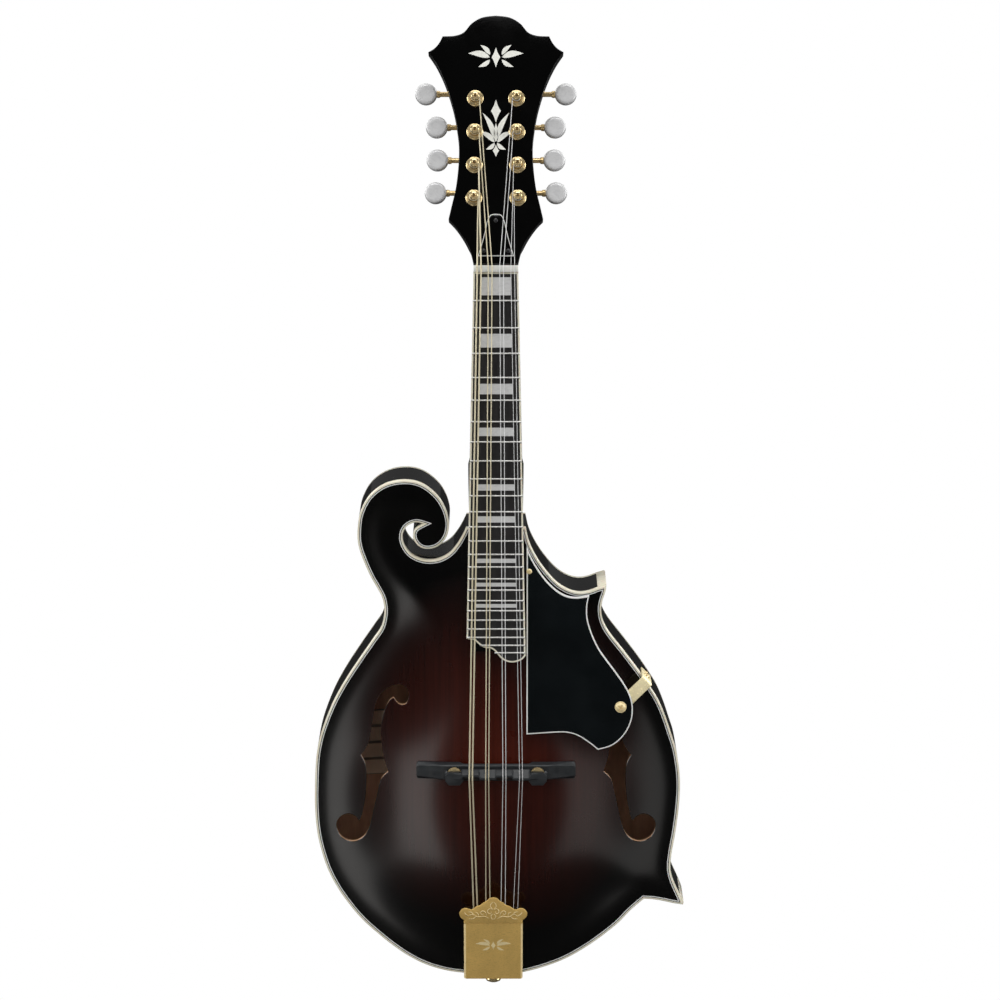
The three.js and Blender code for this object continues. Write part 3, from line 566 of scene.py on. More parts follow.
class Paint:
    """A principled material and short ways to add nodes to it."""

    def __init__(self, name, color=(0.5, 0.5, 0.5), rough=0.4, metal=0.0, **more):
        self.material = bpy.data.materials.new(name)
        self.material.use_nodes = True
        self.tree = self.material.node_tree
        self.shader = self.tree.nodes["Principled BSDF"]
        more.update({"Base Color": (*color, 1), "Roughness": rough, "Metallic": metal})
        for key, value in more.items():
            self.shader.inputs[key.replace("_", " ")].default_value = value

    def node(self, kind, inputs=None, **settings):
        return add_node(self.tree, kind, inputs, **settings)

    def link(self, source, socket):
        self.tree.links.new(source, self.shader.inputs[socket])

    def place(self, scale=(1, 1, 1)):
        """Object coordinates in metres, stretched."""
        where = self.node("TexCoord").outputs["Object"]
        return self.node("Mapping", {"Vector": where, "Scale": scale}).outputs["Vector"]

    def noise(self, scale, detail=3.0, stretch=(1, 1, 1), rough=0.55, distort=0.0):
        return self.node("TexNoise", {"Vector": self.place(stretch), "Scale": scale,
                                      "Detail": detail, "Roughness": rough,
                                      "Distortion": distort}).outputs["Fac"]

    def ramp(self, factor, *stops):
        """A colour ramp from (position, colour) stops."""
        made = self.node("ValToRGB", {"Fac": factor})
        band_ = made.color_ramp
        while len(band_.elements) < len(stops):
            band_.elements.new(0.5)
        for element, (at, color) in zip(band_.elements, stops):
            element.position = at
            element.color = (*color, 1)
        return made.outputs["Color"]

    def span(self, factor, low, high, start=0.0, end=1.0):
        """The factor mapped to a range of numbers."""
        made = self.node("MapRange", {"Value": factor, "From Min": start, "From Max": end,
                                      "To Min": low, "To Max": high})
        return made.outputs["Result"]

    def mix(self, factor, a, b, blend="MIX"):
        """Two colours or colour sockets mixed."""
        a, b = [c if isinstance(c, bpy.types.NodeSocket) else (*c, 1) for c in (a, b)]
        return self.node("Mix", {"Factor": factor, 6: a, 7: b}, data_type="RGBA",
                         blend_type=blend).outputs[2]

    def bump(self, height, distance, strength=1.0):
        """distance in millimetres."""
        made = self.node("Bump", {"Height": height, "Strength": strength,
                                  "Distance": distance / 1000})
        self.link(made.outputs["Normal"], "Normal")

    def finish(self, color, worn, low, high, height, distance, strength):
        """Ties the colour, the roughness from low to high, and the bump to sockets."""
        self.link(color, "Base Color")
        self.link(self.span(worn, low, high, 0.3, 0.7), "Roughness")
        self.bump(height, distance, strength)
        return self.material


def lacquer(name, centre, reach, heart, middle, figure):
    """Clear lacquer over a sunburst: a warm oval heart that fades to black."""
    paint = Paint(name, rough=0.3, Coat_Weight=1.0, Coat_Roughness=0.15, Specular_IOR_Level=0.1)
    where = paint.node("TexCoord").outputs["Object"]
    offset = paint.node("VectorMath", {0: where, 1: (-centre[0] / 1000, 0, -centre[1] / 1000)},
                        operation="ADD").outputs[0]
    oval = paint.node("VectorMath", {0: offset, 1: (1000 / reach[0], 0, 1000 / reach[1])},
                      operation="MULTIPLY").outputs[0]
    away = paint.node("VectorMath", {0: oval}, operation="LENGTH").outputs["Value"]
    cloud = paint.noise(9, 2)
    away = paint.node("Math", {0: away, 1: paint.span(cloud, -0.07, 0.07)},
                      operation="ADD").outputs[0]
    burst = paint.ramp(away, (0.0, heart), (0.42, middle), (0.78, tuple(c * 0.33 for c in middle)),
                       (1.0, (0.0003, 0.0003, 0.0003)))
    if figure == "spruce":
        grain = paint.noise(55, 4, (9, 1, 0.25), distort=0.3)
        tint = paint.span(grain, 0.72, 1.15, 0.3, 0.7)
    else:
        flame = paint.noise(28, 3, (0.8, 0.6, 3.2), distort=0.9)
        tint = paint.span(flame, 0.45, 1.5, 0.3, 0.7)
    shade = paint.node("CombineColor", {0: tint, 1: tint, 2: tint}).outputs[0]
    return paint.finish(paint.mix(1.0, burst, shade, "MULTIPLY"), paint.noise(40, 3), 0.26, 0.34,
                        paint.noise(18, 2), 0.04, 0.35)


def black_lacquer(name, color=(0.001, 0.001, 0.001), coat=1.0, gleam=0.4):
    paint = Paint(name, color, 0.14, Coat_Weight=coat, Coat_Roughness=0.03, Specular_IOR_Level=gleam)
    stained = paint.ramp(paint.noise(30, 3), (0.35, color), (0.7, tuple(c * 1.7 for c in color)))
    return paint.finish(stained, paint.noise(60, 4), 0.1, 0.18, paint.noise(22, 2), 0.03, 0.3)


def wood(name, light, dark, stretch, rough, scale=60):
    """Bare timber with grain along the long direction of the stretch."""
    paint = Paint(name, light, rough)
    grain = paint.noise(scale, 5, stretch, distort=0.4)
    pores = paint.noise(scale * 6, 3, stretch)
    mixed = paint.mix(paint.span(pores, 0, 0.35, 0.4, 0.65),
                      paint.ramp(grain, (0.3, dark), (0.7, light)), dark)
    return paint.finish(mixed, grain, rough - 0.06, rough + 0.08, pores, 0.05, 0.5)


def celluloid(name, light, dark, rough=0.22):
    """Cream celluloid with faint layered lines, as binding stock has."""
    paint = Paint(name, light, rough, Coat_Weight=0.6, Coat_Roughness=0.06,
                  Subsurface_Weight=0.05, Subsurface_Scale=0.002)
    layers = paint.ramp(paint.noise(90, 3, (1, 6, 1)), (0.3, dark), (0.65, light))
    return paint.finish(layers, paint.noise(200, 3), rough - 0.05, rough + 0.06,
                        paint.noise(300, 2), 0.02, 0.3)


def pearl(name, light, dark, rough=0.18):
    """Pearl plastic: soft cloudy bands."""
    paint = Paint(name, light, rough, Coat_Weight=0.8, Coat_Roughness=0.05,
                  Specular_IOR_Level=0.55)
    cloud = paint.noise(120, 4, (1, 1, 1.6), distort=2.5)
    bands = paint.ramp(cloud, (0.32, dark), (0.55, light), (0.75, dark))
    return paint.finish(bands, cloud, rough - 0.04, rough + 0.08, cloud, 0.02, 0.2)


def metal(name, color, rough, wear=0.06, brushed=None, scale=120, metallic=1.0):
    """Plated or drawn metal with small changes of tone and polish."""
    paint = Paint(name, color, rough, metallic)
    darker = tuple(c * 0.86 for c in color)
    tone = paint.ramp(paint.noise(scale, 3), (0.3, darker), (0.7, color))
    streak = paint.noise(scale * 5, 4, brushed or (1, 1, 1))
    return paint.finish(tone, streak, max(0.03, rough - wear), rough + wear, streak, 0.01,
                        0.15 if brushed else 0.1)


def wound(name, color):
    """A winding: fine even ridges across the string, bumped, with painted shade darkening the grooves
    between the turns.
    """
    paint = Paint(name, color, 0.35, 0.45)
    ridges = paint.node("TexWave", {"Vector": paint.place(), "Scale": 700, "Distortion": 0.0},
                        bands_direction="Z").outputs["Fac"]
    # The darker bands are painted shade in the grooves between the turns; the bump gives the ridges their
    # relief.
    darker = tuple(c * 0.7 for c in color)
    return paint.finish(paint.ramp(ridges, (0.1, darker), (0.6, color)), paint.noise(150, 3), 0.3,
                        0.42, ridges, 0.03, 0.3)


def paper(name):
    """Tan paper with plain ruled lines."""
    paint = Paint(name, (0.62, 0.5, 0.33), 0.75)
    tan = paint.ramp(paint.noise(25, 5), (0.3, (0.66, 0.48, 0.34)), (0.65, (0.8, 0.6, 0.44)))
    rules = paint.node("TexWave", {"Vector": paint.place(), "Scale": 26.0, "Distortion": 0.0},
                       bands_direction="Z").outputs["Fac"]
    printed = paint.ramp(rules, (0.9, (0, 0, 0)), (0.97, (0.8, 0.8, 0.8)))
    paint.link(paint.mix(printed, tan, (0.03, 0.02, 0.015)), "Base Color")
    paint.bump(paint.noise(400, 4), 0.04, 0.4)
    return paint.material


TOP_BURST = lacquer("sunburst_top", (0, -338), (112, 134), (0.062, 0.0085, 0.0035),
                    (0.034, 0.0045, 0.002), "spruce")
BACK_BURST = lacquer("sunburst_back", (0, -335), (118, 142), (0.12, 0.022, 0.008),
                     (0.07, 0.012, 0.0045), "maple")
BLACK = black_lacquer("black_lacquer")
PLASTIC = black_lacquer("black_plastic", (0.0028, 0.004, 0.0046), 0.6)
HEAD_BLACK = black_lacquer("black_head", (0.0003, 0.0003, 0.0003), 0.6, 0.1)
IVORY = celluloid("ivoroid", (0.86, 0.82, 0.68), (0.76, 0.7, 0.54))
WHITE = celluloid("white_line", (0.86, 0.86, 0.84), (0.76, 0.76, 0.73), 0.28)
BLACK_STRIP = black_lacquer("black_line", (0.004, 0.004, 0.004), 0.3)
BONE = celluloid("bone", (0.86, 0.86, 0.82), (0.76, 0.76, 0.71), 0.3)
EBONY = wood("ebony", (0.028, 0.026, 0.026), (0.014, 0.013, 0.013), (6, 6, 0.4), 0.4, 70)
EBONY_ACROSS = wood("ebony_across", (0.03, 0.034, 0.037), (0.016, 0.018, 0.02), (0.4, 6, 6), 0.4, 70)
MAPLE = wood("maple_inside", (0.56, 0.31, 0.18), (0.42, 0.22, 0.12), (3, 3, 0.5), 0.6)
SPRUCE = wood("spruce_inside", (0.72, 0.46, 0.28), (0.52, 0.3, 0.17), (5, 5, 0.3), 0.62)
INLAY = pearl("block_inlay", (0.68, 0.68, 0.67), (0.6, 0.6, 0.6))
SHELL = pearl("shell_inlay", (0.84, 0.84, 0.78), (0.72, 0.72, 0.66))
BUTTON = pearl("pearl_button", (0.66, 0.66, 0.66), (0.6, 0.6, 0.605))
GOLD = metal("gold_plate", (0.95, 0.7, 0.34), 0.22, metallic=0.65)
GOLD_SATIN = metal("gold_satin", (0.88, 0.58, 0.18), 0.3, 0.05, (1, 1, 14), 90, 0.3)
GOLD_LIGHT = metal("gold_light", (1.0, 0.82, 0.45), 0.3, 0.05, metallic=0.1)
# A paler, barely metallic copy of the gold plating: a painted highlight for the cover's folded sides.
GOLD_FOLD_HIGHLIGHT = metal("gold_fold_painted_highlight", (1.0, 0.78, 0.4), 0.3, metallic=0.1)
GOLD_PALE = metal("gold_pale", (1.0, 0.88, 0.54), 0.25, metallic=0.15)
GOLD_BRIGHT = metal("gold_bright", (1.0, 0.79, 0.43), 0.16, 0.03, metallic=0.7)
STEEL = metal("string_steel", (0.8, 0.8, 0.8), 0.4, 0.05, (1, 1, 0.1), 300, 0.2)
FRET = metal("fret_wire", (0.82, 0.81, 0.78), 0.25, metallic=0.45)
BRONZE = wound("string_winding", (0.84, 0.76, 0.54))
DARK_SCREW = metal("black_screw", (0.1, 0.1, 0.105), 0.3)
LABEL = paper("paper_label")

# ---------------------------------------------------------------- the body
outline = Outline(OUTLINE_RUNS, 2.0)
ring_edge = outline.ring()
ring_next = np.roll(ring_edge, -1, axis=0)
edge_middle = (ring_edge + ring_next) / 2
edge_length = np.linalg.norm(ring_next - ring_edge, axis=1)


def arch(x, z, rise):
    """The CAD's arch: it rises smoothly with the blended distance from the outline."""
    x, z = np.atleast_1d(x), np.atleast_1d(z)
    gap = np.hypot(x[:, None] - edge_middle[:, 0], z[:, None] - edge_middle[:, 1]).clip(4)
    away = np.cbrt(math.pi / 2 / (edge_length / gap**4).sum(axis=1))
    t = ((away - 4) / ARCH_REACH).clip(0, 1)
    return rise * t * t * (3 - 2 * t)


def top_front(x, z):
    return -TOP_THICKNESS - arch(x, z, TOP_ARCH)


def top_inside(x, z):
    return -GAP - arch(x, z, TOP_ARCH)


def back_inside(x, z):
    return RIM_DEPTH + GAP + arch(x, z, BACK_ARCH)


def back_outside(x, z):
    return RIM_DEPTH + GAP + BACK_THICKNESS + arch(x, z, BACK_ARCH)


LINES = BINDING + BLACK_LINE + WHITE_LINE
f_hole = Outline(F_HOLE_RUNS, 1.6).ring()
f_holes = [f_hole, f_hole * (-1, 1)]
f_holes = [h if area(h) < 0 else h[::-1] for h in f_holes]
piece("top_plate", sheet(outline.ring(LINES), top_front, top_inside, f_holes, 3.4, 0.3),
      TOP_BURST, replaces="soundboard", angle=22,
      second=(SPRUCE, lambda normal, centre: normal.y > -0.5))
FRONT = -TOP_THICKNESS
piece("top_binding", band(outline, [(0, RIM_TOP), (0, FRONT + 0.45), (0.14, FRONT + 0.14),
                                    (0.45, FRONT), (BINDING, FRONT), (BINDING, RIM_TOP)]),
      IVORY, replaces="top_binding")


def line_strip(start, end, front, back):
    return band(outline, [(start, back), (start, front), (end, front), (end, back)])


piece("purfling_black", line_strip(BINDING, BINDING + BLACK_LINE, FRONT + 0.03, -1), BLACK_STRIP)
piece("purfling_white", line_strip(BINDING + BLACK_LINE, LINES, FRONT - 0.02, -1), WHITE)

soundbox = spline(SOUNDBOX, 3, closed=True)
piece("ribs", prism(ring_edge, RIM_TOP, RIM_DEPTH + GAP, [soundbox]), BLACK, replaces="rim",
      second=(MAPLE, lambda normal, centre: abs(normal.y) < 0.5 and distance_to(
          np.array([[centre.x * 1000, centre.z * 1000]]), ring_edge)[0] > 2))
BACK_EDGE = RIM_DEPTH + GAP + BACK_THICKNESS
piece("back_binding", band(outline, [(0, RIM_DEPTH + GAP), (0, BACK_EDGE - 0.6),
                                     (0.18, BACK_EDGE - 0.18), (0.6, BACK_EDGE),
                                     (BINDING + 0.2, BACK_EDGE), (BINDING + 0.2, RIM_DEPTH + GAP)]),
      IVORY)
piece("back_carved", sheet(outline.ring(BINDING + 0.2), back_outside, back_inside, cell=3.8),
      BACK_BURST, replaces="back_plate", angle=40,
      second=(MAPLE, lambda normal, centre: normal.y < -0.5))

# Ivory caps guard the two points over the ribs' whole height.
for name, corner in (("upper", 1), ("lower", 2)):
    before, after = outline.lines[corner - 1], outline.lines[corner]
    reach = 4
    outer = meet(offset_line(before[-reach:], -0.35), offset_line(after[:reach], -0.35), 0.35)
    outer = np.vstack([outer[0], outer[1][1:]])
    inner = meet(offset_line(before[-reach:], 0.5), offset_line(after[:reach], 0.5), 0.5)
    inner = np.vstack([inner[0], inner[1][1:]])
    cap = np.vstack([outer, inner[::-1]])
    piece(f"point_protector_{name}", prism(cap, RIM_TOP + 0.02, RIM_DEPTH + GAP - 0.02), IVORY, bevel=0.12)

label = polygon([(-106, -322), (-104, -320), (-72, -320), (-70, -322), (-70, -366), (-72, -368),
                 (-104, -368), (-106, -366)], step=2)
piece("paper_label", sheet(label, lambda x, z: back_inside(x, z) - 0.3,
                           lambda x, z: back_inside(x, z) - 0.05, cell=4), LABEL)

for node, paint in (("top_lining", MAPLE), ("back_lining", MAPLE), ("neck_block", MAPLE),
                    ("tail_block", MAPLE), ("tone_bar_bass", SPRUCE), ("tone_bar_treble", SPRUCE)):
    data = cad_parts[node].data
    data.materials.clear()
    data.materials.append(paint)

# ---------------------------------------------------------------- neck and head
def superellipse(count, power):
    """Half a superellipse from (1, 0) over (0, 1) to (-1, 0)."""
    a = np.linspace(0, math.pi, count)
    c, s = np.cos(a), np.sin(a).clip(0)
    return np.column_stack([np.sign(c) * np.abs(c) ** (2 / power), s ** (2 / power)])


def neck_section(place, z, half, front, back, power, count=31):
    """A loop across the neck: flat front, rounded back, in the given frame."""
    arc = superellipse(count, power)
    x = arc[:, 0] * half
    y = front + arc[:, 1] * (back - front)
    points = np.column_stack([x, y, np.full(count, float(z))])
    m = np.array(place)
    return points @ m[:3, :3].T + m[:3, 3]


def smooth(a, b, t):
    """Eases from 0 at a to 1 at b, whichever of them is the greater."""
    t = min(1.0, max(0.0, (t - a) / (b - a)))
    return t * t * (3 - 2 * t)


UNDER_BOARD = BOARD_THICKNESS + 0.05
heel_back = spline([(-132, 22.3), (-146, 24.5), (-156, 29), (-163, 35.5), (-168.5, 43),
                    (-172.5, 50), (-175.8, 55.5)], 2)
rows = []
for z, back in [(-176.7, 57.6), *[tuple(p) for p in heel_back[::-1]]]:
    t = smooth(-176.7, -132, z)
    half = NECK_HALF_JOINT - (1 - t) * 0.6
    rows.append(neck_section(NECK, z, half, UNDER_BOARD, back, 2.0 + 0.5 * t))
for z in np.linspace(-128, -6, 30):
    down = z / NECK_JOINT
    half = BOARD_HALF_NUT + (NECK_HALF_JOINT - BOARD_HALF_NUT) * down
    rows.append(neck_section(NECK, z, half, UNDER_BOARD, NECK_BACK_NUT + NECK_BACK_GROWTH * down, 2.5))
head = Outline(mirrored(HEAD_RUNS), 1.2)
right_side = head.lines[:len(HEAD_RUNS)]
head_side = np.vstack([line[:-1] for line in right_side] + [right_side[-1][-1:]])[::-1]
HEAD_FRONT = HEADPLATE + 0.02
for half, z in head_side:
    t = smooth(2.5, 24, z)
    turn = smooth(2.5, 16, z)
    hinge = shift((0, HEADPLATE, z))
    bend = Matrix.Rotation((HEAD_LEAN - NECK_LEAN) * (1 - turn), 4, "X")
    place = HEAD @ hinge @ bend @ hinge.inverted()
    back = HEAD_THICKNESS + 3.2 * (1 - t) + 2.6 * math.exp(-((z - 9) / 7) ** 2)
    rows.append(neck_section(place, z, max(half, 0.6), HEAD_FRONT, back, 2.5 + 11 * t))
piece("neck", loft(rows), BLACK, Matrix.Identity(4), replaces="neck",
      angle=38)


def under_board(x, z):
    """Depth of the fingerboard's underside, in the body's frame."""
    return BOARD_FACE + (UNDER_BOARD + z * math.sin(NECK_LEAN)) / math.cos(NECK_LEAN)


riser = polygon(rectangle(-17, -262, 17, -176), step=4)
piece("board_support", sheet(riser, under_board, lambda x, z: top_front(x, z) + 0.6, cell=5),
      BLACK)

post_x = [TOP_POST_X + (POST_HEIGHTS[3] - z) * POST_SPLAY for z in POST_HEIGHTS]
bores = [circle(side * x, z, 4.2, 32) for _, side in SIDES for x, z in zip(post_x, POST_HEIGHTS)]
piece("head_face", prism(head.ring(), 0, HEADPLATE, bores, edge=0.5), HEAD_BLACK, HEAD,
      replaces="headplate", angle=40)


# Inlaid ornaments: plain leaves and lozenges, flush with the head's face.
def leaf(x, z, length, width, turn, bend=0.0):
    """A pointed leaf from its root at (x, z); turn is from straight up, clockwise."""
    t = np.linspace(0, 1, 15)
    half = width / 2 * np.sin(math.pi * t**0.8)
    middle = np.column_stack([bend * np.sin(math.pi * t), t * length])
    right = middle + np.column_stack([half, 0 * t])
    left = middle - np.column_stack([half, 0 * t])
    ring = np.vstack([right, left[-2:0:-1]])
    c, s = math.cos(turn), math.sin(turn)
    ring = np.column_stack([ring[:, 0] * c + ring[:, 1] * s, -ring[:, 0] * s + ring[:, 1] * c])
    ring = ring + (x, z)
    return ring if area(ring) < 0 else ring[::-1]


def lozenge(x, z, wide, tall):
    corners = np.array([(x, z + tall), (x + wide, z), (x, z - tall), (x - wide, z), (x, z + tall)])
    hollow = [even(np.vstack([a, b]), count=6) for a, b in zip(corners, corners[1:])]
    ring = []
    for line in hollow:
        bow = np.sin(np.linspace(0, math.pi, 7))[:, None] * 0.12
        ring.append((line + ((x, z) - line) * bow)[:-1])
    return np.vstack(ring)


def spray(*leaves):
    """Leaves on both sides, each from x, z, length, width, turn and bend on the right."""
    return [leaf(side * x, z, length, width, side * turn, side * bend)
            for side in (-1, 1) for x, z, length, width, turn, bend in leaves]


def inlay(name, rings, material, place, body="instrument", lift=0.04, deep=0.5):
    piece(name, join(*[prism(ring, -lift, deep) for ring in rings]), material, place, body)


LEVEL = math.pi / 2  # the turn of a leaf that lies flat
inlay("head_sprig", [lozenge(0, 108.5, 3.4, 8), lozenge(0, 80.8, 2.2, 4.4), leaf(0, 87, 13, 3, 0),
                     *spray((0.9, 89, 20, 3.6, 0.42, -1.4), (0.9, 86.5, 13, 3.6, 0.95, -1.4),
                            (0.8, 86, 7.5, 2.8, 2.2, 0.8))], SHELL, HEAD)
inlay("head_garland", [lozenge(0, 146, 3, 7),
                       *spray((4.2, 146, 15, 4.4, LEVEL - 0.18, -1.2),
                              (4.0, 144.2, 9.5, 3, LEVEL + 0.55, 0.8),
                              (4.0, 147.8, 9.5, 3, LEVEL - 0.8, -0.8))], SHELL, HEAD)

# Truss rod cover: black on white, with three small screws
rod_cover = Outline(mirrored([COVER_HALF]), 1)
piece("truss_cover_edge", prism(rod_cover.ring(), -1.55, -0.02, edge=0.1, steps=1), WHITE, HEAD)
piece("truss_cover", prism(rod_cover.ring(0.55), -1.9, -1.4, edge=0.15, steps=2), HEAD_BLACK, HEAD,
      replaces="truss_rod_cover")


def screw(radius, height):
    """A domed screw head with a cross recess; its face looks along -y."""
    profile = [(0, -height), (radius * 0.45, -height * 0.93), (radius * 0.8, -height * 0.62),
               (radius, -height * 0.12), (radius, 0.3), (0, 0.3)]
    arm, long = radius * 0.13, radius * 0.6
    cross = [block((-long, -height - 1, -arm), (long, -height * 0.3, arm)),
             block((-arm, -height - 1, -long), (arm, -height * 0.3, long))]
    return carve(lathe(profile, 32), *cross)


def at(x, y, z, turn=0.0, lean=0.0):
    return shift((x, y, z)) @ Matrix.Rotation(lean, 4, "X") @ Matrix.Rotation(turn, 4, "Y")


small = screw(1.5, 0.6)
piece("truss_cover_screws", join(moved(small, at(0, -1.9, 32, 0.4)), moved(small, at(-8.4, -1.9, 11)),
                                 moved(small, at(8.4, -1.9, 11, 0.8))), DARK_SCREW, HEAD)

# ---------------------------------------------------------------- nut, board, frets and markers
notched = [(-BOARD_HALF_NUT, BOARD_THICKNESS), (-BOARD_HALF_NUT, NUT_FACE + 0.3),
           (-BOARD_HALF_NUT + 0.5, NUT_FACE)]
for _, x, _, _, radius, _ in STRINGS:
    wide = radius + 0.12
    notched += [(x - wide, NUT_FACE), (x - wide * 0.6, NUT_FACE + 0.3),
                (x + wide * 0.6, NUT_FACE + 0.3), (x + wide, NUT_FACE)]
notched += [(BOARD_HALF_NUT - 0.5, NUT_FACE), (BOARD_HALF_NUT, NUT_FACE + 0.3),
            (BOARD_HALF_NUT, BOARD_THICKNESS)]
nut_points, nut_faces = prism(np.array(notched, float), 0, NUT_LENGTH)
piece("nut", (nut_points[:, [0, 2, 1]], nut_faces), BONE, NECK, replaces="nut",
      bevel=0.12)

board = Outline([[(-BOARD_HALF_NUT, -GAP), (BOARD_HALF_NUT, -GAP)],
                 [(BOARD_HALF_NUT, -GAP), (BOARD_HALF_END, -264.5)], BOARD_END,
                 [BOARD_END[-1], (-BOARD_HALF_NUT, -GAP)]], 1.5)
BOARD_BINDING = 1.1
piece("board_binding", band(board, [(0, BOARD_THICKNESS), (0, 0.15), (0.15, 0),
                                    (BOARD_BINDING, 0), (BOARD_BINDING, BOARD_THICKNESS)]),
      IVORY, NECK)
piece("board", prism(board.ring(BOARD_BINDING), 0, BOARD_THICKNESS), EBONY, NECK,
      replaces="fretboard")


def half_board(z):
    return BOARD_HALF_NUT + (BOARD_HALF_END - BOARD_HALF_NUT) * z / -264.5


def fret(z, left, right):
    """A crowned wire across the board, bevelled at both ends."""
    crown = superellipse(9, 2.0) * (0.6, -0.9)
    rows = []
    for x, scale in ((left, 0.35), (left + 0.35, 0.85), (left + 0.8, 1.0), (right - 0.8, 1.0),
                     (right - 0.35, 0.85), (right, 0.35)):
        rows.append(np.column_stack([np.full(9, x), crown[:, 1] * scale + 0.05, z + crown[:, 0]]))
    return loft(rows)


wires = []
for n in range(1, 25):
    z = -SCALE_LENGTH * (1 - 2 ** (-n / 12))
    left = {23: -10.6, 24: -1.0}.get(n, -half_board(z) + 0.1)
    wires.append(fret(z, left, half_board(z) - 0.1))
piece("frets", join(*wires), FRET, NECK, angle=50)

MARKERS = {1: 12.3, 3: 9.4, 5: 7.2, 7: 5.8, 10: 4.3, 12: 4.3, 15: 2.9, 17: 2.6, 19: 2.5}
blocks = []
for n, length in MARKERS.items():
    middle = -SCALE_LENGTH * (1 - (2 ** (-n / 12) + 2 ** (-(n - 1) / 12)) / 2)
    half = half_board(middle) - 5.4
    ring = rectangle(-half, middle - length / 2, half, middle + length / 2)
    blocks.append(prism(ring, -0.03, 1))
piece("block_markers", join(*blocks), INLAY, NECK)

# ---------------------------------------------------------------- tuners
PLATE_FRONT = HEAD_THICKNESS + GAP
PLATE_BACK = PLATE_FRONT + 1.2
EAR = 5.4
WAIST = 2.4


def tuner_plate(side):
    """A long plate with scalloped ends and worm bearings."""
    inner, outer, low, high = 8.6, 21.2, 40, 131
    middle = (inner + outer) / 2
    edge = [(inner, low + 4), (inner, high - 4), (middle - 3.6, high - 3), (middle, high),
            (middle + 3.6, high - 3), (outer, high - 4), (outer, low + 4),
            (middle + 3.6, low + 3), (middle, low), (middle - 3.6, low + 3)]
    ring = np.array([(side * x, z) for x, z in edge], float)
    ring = ring if area(ring) < 0 else ring[::-1]
    holes = [circle(side * x, z, 3.4, 24) for x, z in zip(post_x, POST_HEIGHTS)]
    parts = [prism(ring, PLATE_FRONT, PLATE_BACK, holes, edge=0.25, steps=2)]
    for x, z in zip(post_x, POST_HEIGHTS):
        for way in (-1, 1):
            near = side * x + way * EAR
            far = near + way * 1.3
            a = np.linspace(0, math.pi, 15)
            cheek = [(z + WORM_RISE + 3.6 * math.cos(t), WORM_DEPTH + 3.0 * math.sin(t)) for t in a]
            cheek = [(z + WORM_RISE + 3.6, PLATE_BACK - 0.4), *cheek,
                     (z + WORM_RISE - 3.6, PLATE_BACK - 0.4)]
            bore = circle(z + WORM_RISE, WORM_DEPTH, 1.95, 20)
            points, faces = prism(np.array(cheek), min(near, far), max(near, far), [bore])
            parts.append((points[:, [1, 2, 0]], faces))
    return join(*parts)


def post():
    """A waisted post, drilled down its tip."""
    deep = WORM_DEPTH - 2.1
    return lathe([(0, -6.4), (1.0, -6.5), (1.1, -9.1), (1.5, -9.5), (2.1, -9.45), (2.75, -9.0), (3, -8.3),
                  (2.9, -7.6), (WAIST, -7.1), (WAIST, -3.2), (2.9, -2.5), (3.0, -1.8),
                  (3.0, deep), (0, deep)], 40)


def worm_wheel():
    teeth, root, tip = 14, 3.75, 4.65
    a = angles(teeth * 8)
    wave = np.clip(1.6 * np.cos(a * teeth), -1, 1)
    radius = root + (tip - root) * (wave + 1) / 2
    rows = []
    for y, scale, turn in ((-2.1, 0.93, -0.1), (-1.7, 1, -0.08), (0, 0.97, 0), (1.7, 1, 0.08),
                           (2.1, 0.93, 0.1)):
        rows.append(np.column_stack([radius * scale * np.cos(a + turn), np.full(len(a), WORM_DEPTH + y),
                                     radius * scale * np.sin(a + turn)]))
    return loft(rows)


def worm(reach):
    """A shaft with a spiral thread, along x from the post's axis."""
    far = EAR + 1.3
    around = angles(28)
    stops = [(-far - 0.8, 0.6), (-far - 0.8, 1.6), (-4.7, 1.6)]
    thread = np.linspace(-4.6, 4.6, 74)
    stops += [(x, None) for x in thread]
    stops += [(4.7, 1.6), (far + GAP, 1.6), (far + GAP, 2.2), (far + 0.6, 2.5), (far + 1.3, 2.2),
              (far + 1.6, 1.75), (reach - 2.4, 1.75), (reach - 2.2, 2.3), (reach - 0.4, 2.5),
              (reach, 2.2)]
    rows = []
    for x, radius in stops:
        if radius is None:
            fade = smooth(-4.6, -3.8, x) * smooth(4.6, 3.8, x)
            ridge = 0.5 + 0.5 * np.clip(1.8 * np.cos(2 * math.pi * x / 1.8 - around), -1, 1)
            r = 1.6 - 0.15 * fade + 0.85 * ridge * fade
        else:
            r = np.full(len(around), radius)
        rows.append(np.column_stack([np.full(len(around), x), r * np.cos(around), r * np.sin(around)]))
    return loft(rows)


def button():
    """A round disc, dished a little on both faces."""
    profile = [(0, -2.9), (3, -2.95), (5.2, -3.15), (6.3, -3.0), (7.0, -2.45), (7.4, -1.5),
               (7.55, -0.4), (7.55, 0.4), (7.4, 1.5), (7.0, 2.45), (6.3, 3.0), (5.2, 3.15),
               (3, 2.95), (0, 2.9)]
    return lathe(profile, 56)


def bushing():
    """A pressed ring round the post, stepped towards the head."""
    return lathe([(3.25, 0.2), (3.25, -1.5), (3.5, -1.75), (4.3, -1.7), (4.6, -1.3), (4.75, -0.75),
                  (5.3, -0.6), (5.6, -0.35), (5.65, 0.0), (5.5, 0.2)], 44, ring=True)


def coil(side, radius, start, way):
    """Turns of string round the post, beside where it comes in on the inner side."""
    turns = 3 if radius < 0.25 else 1.4
    t = np.linspace(0, 1, 84)
    a = t * turns * 2 * math.pi
    first = 0 if side < 0 else math.pi
    spin = 1 if side < 0 else -1
    r = WAIST + radius
    y = start + way * (1 + t * turns) * 2.05 * radius
    path = np.column_stack([r * np.cos(first + spin * a), y, r * np.sin(first + spin * a)])
    return tube(path, radius, 8)


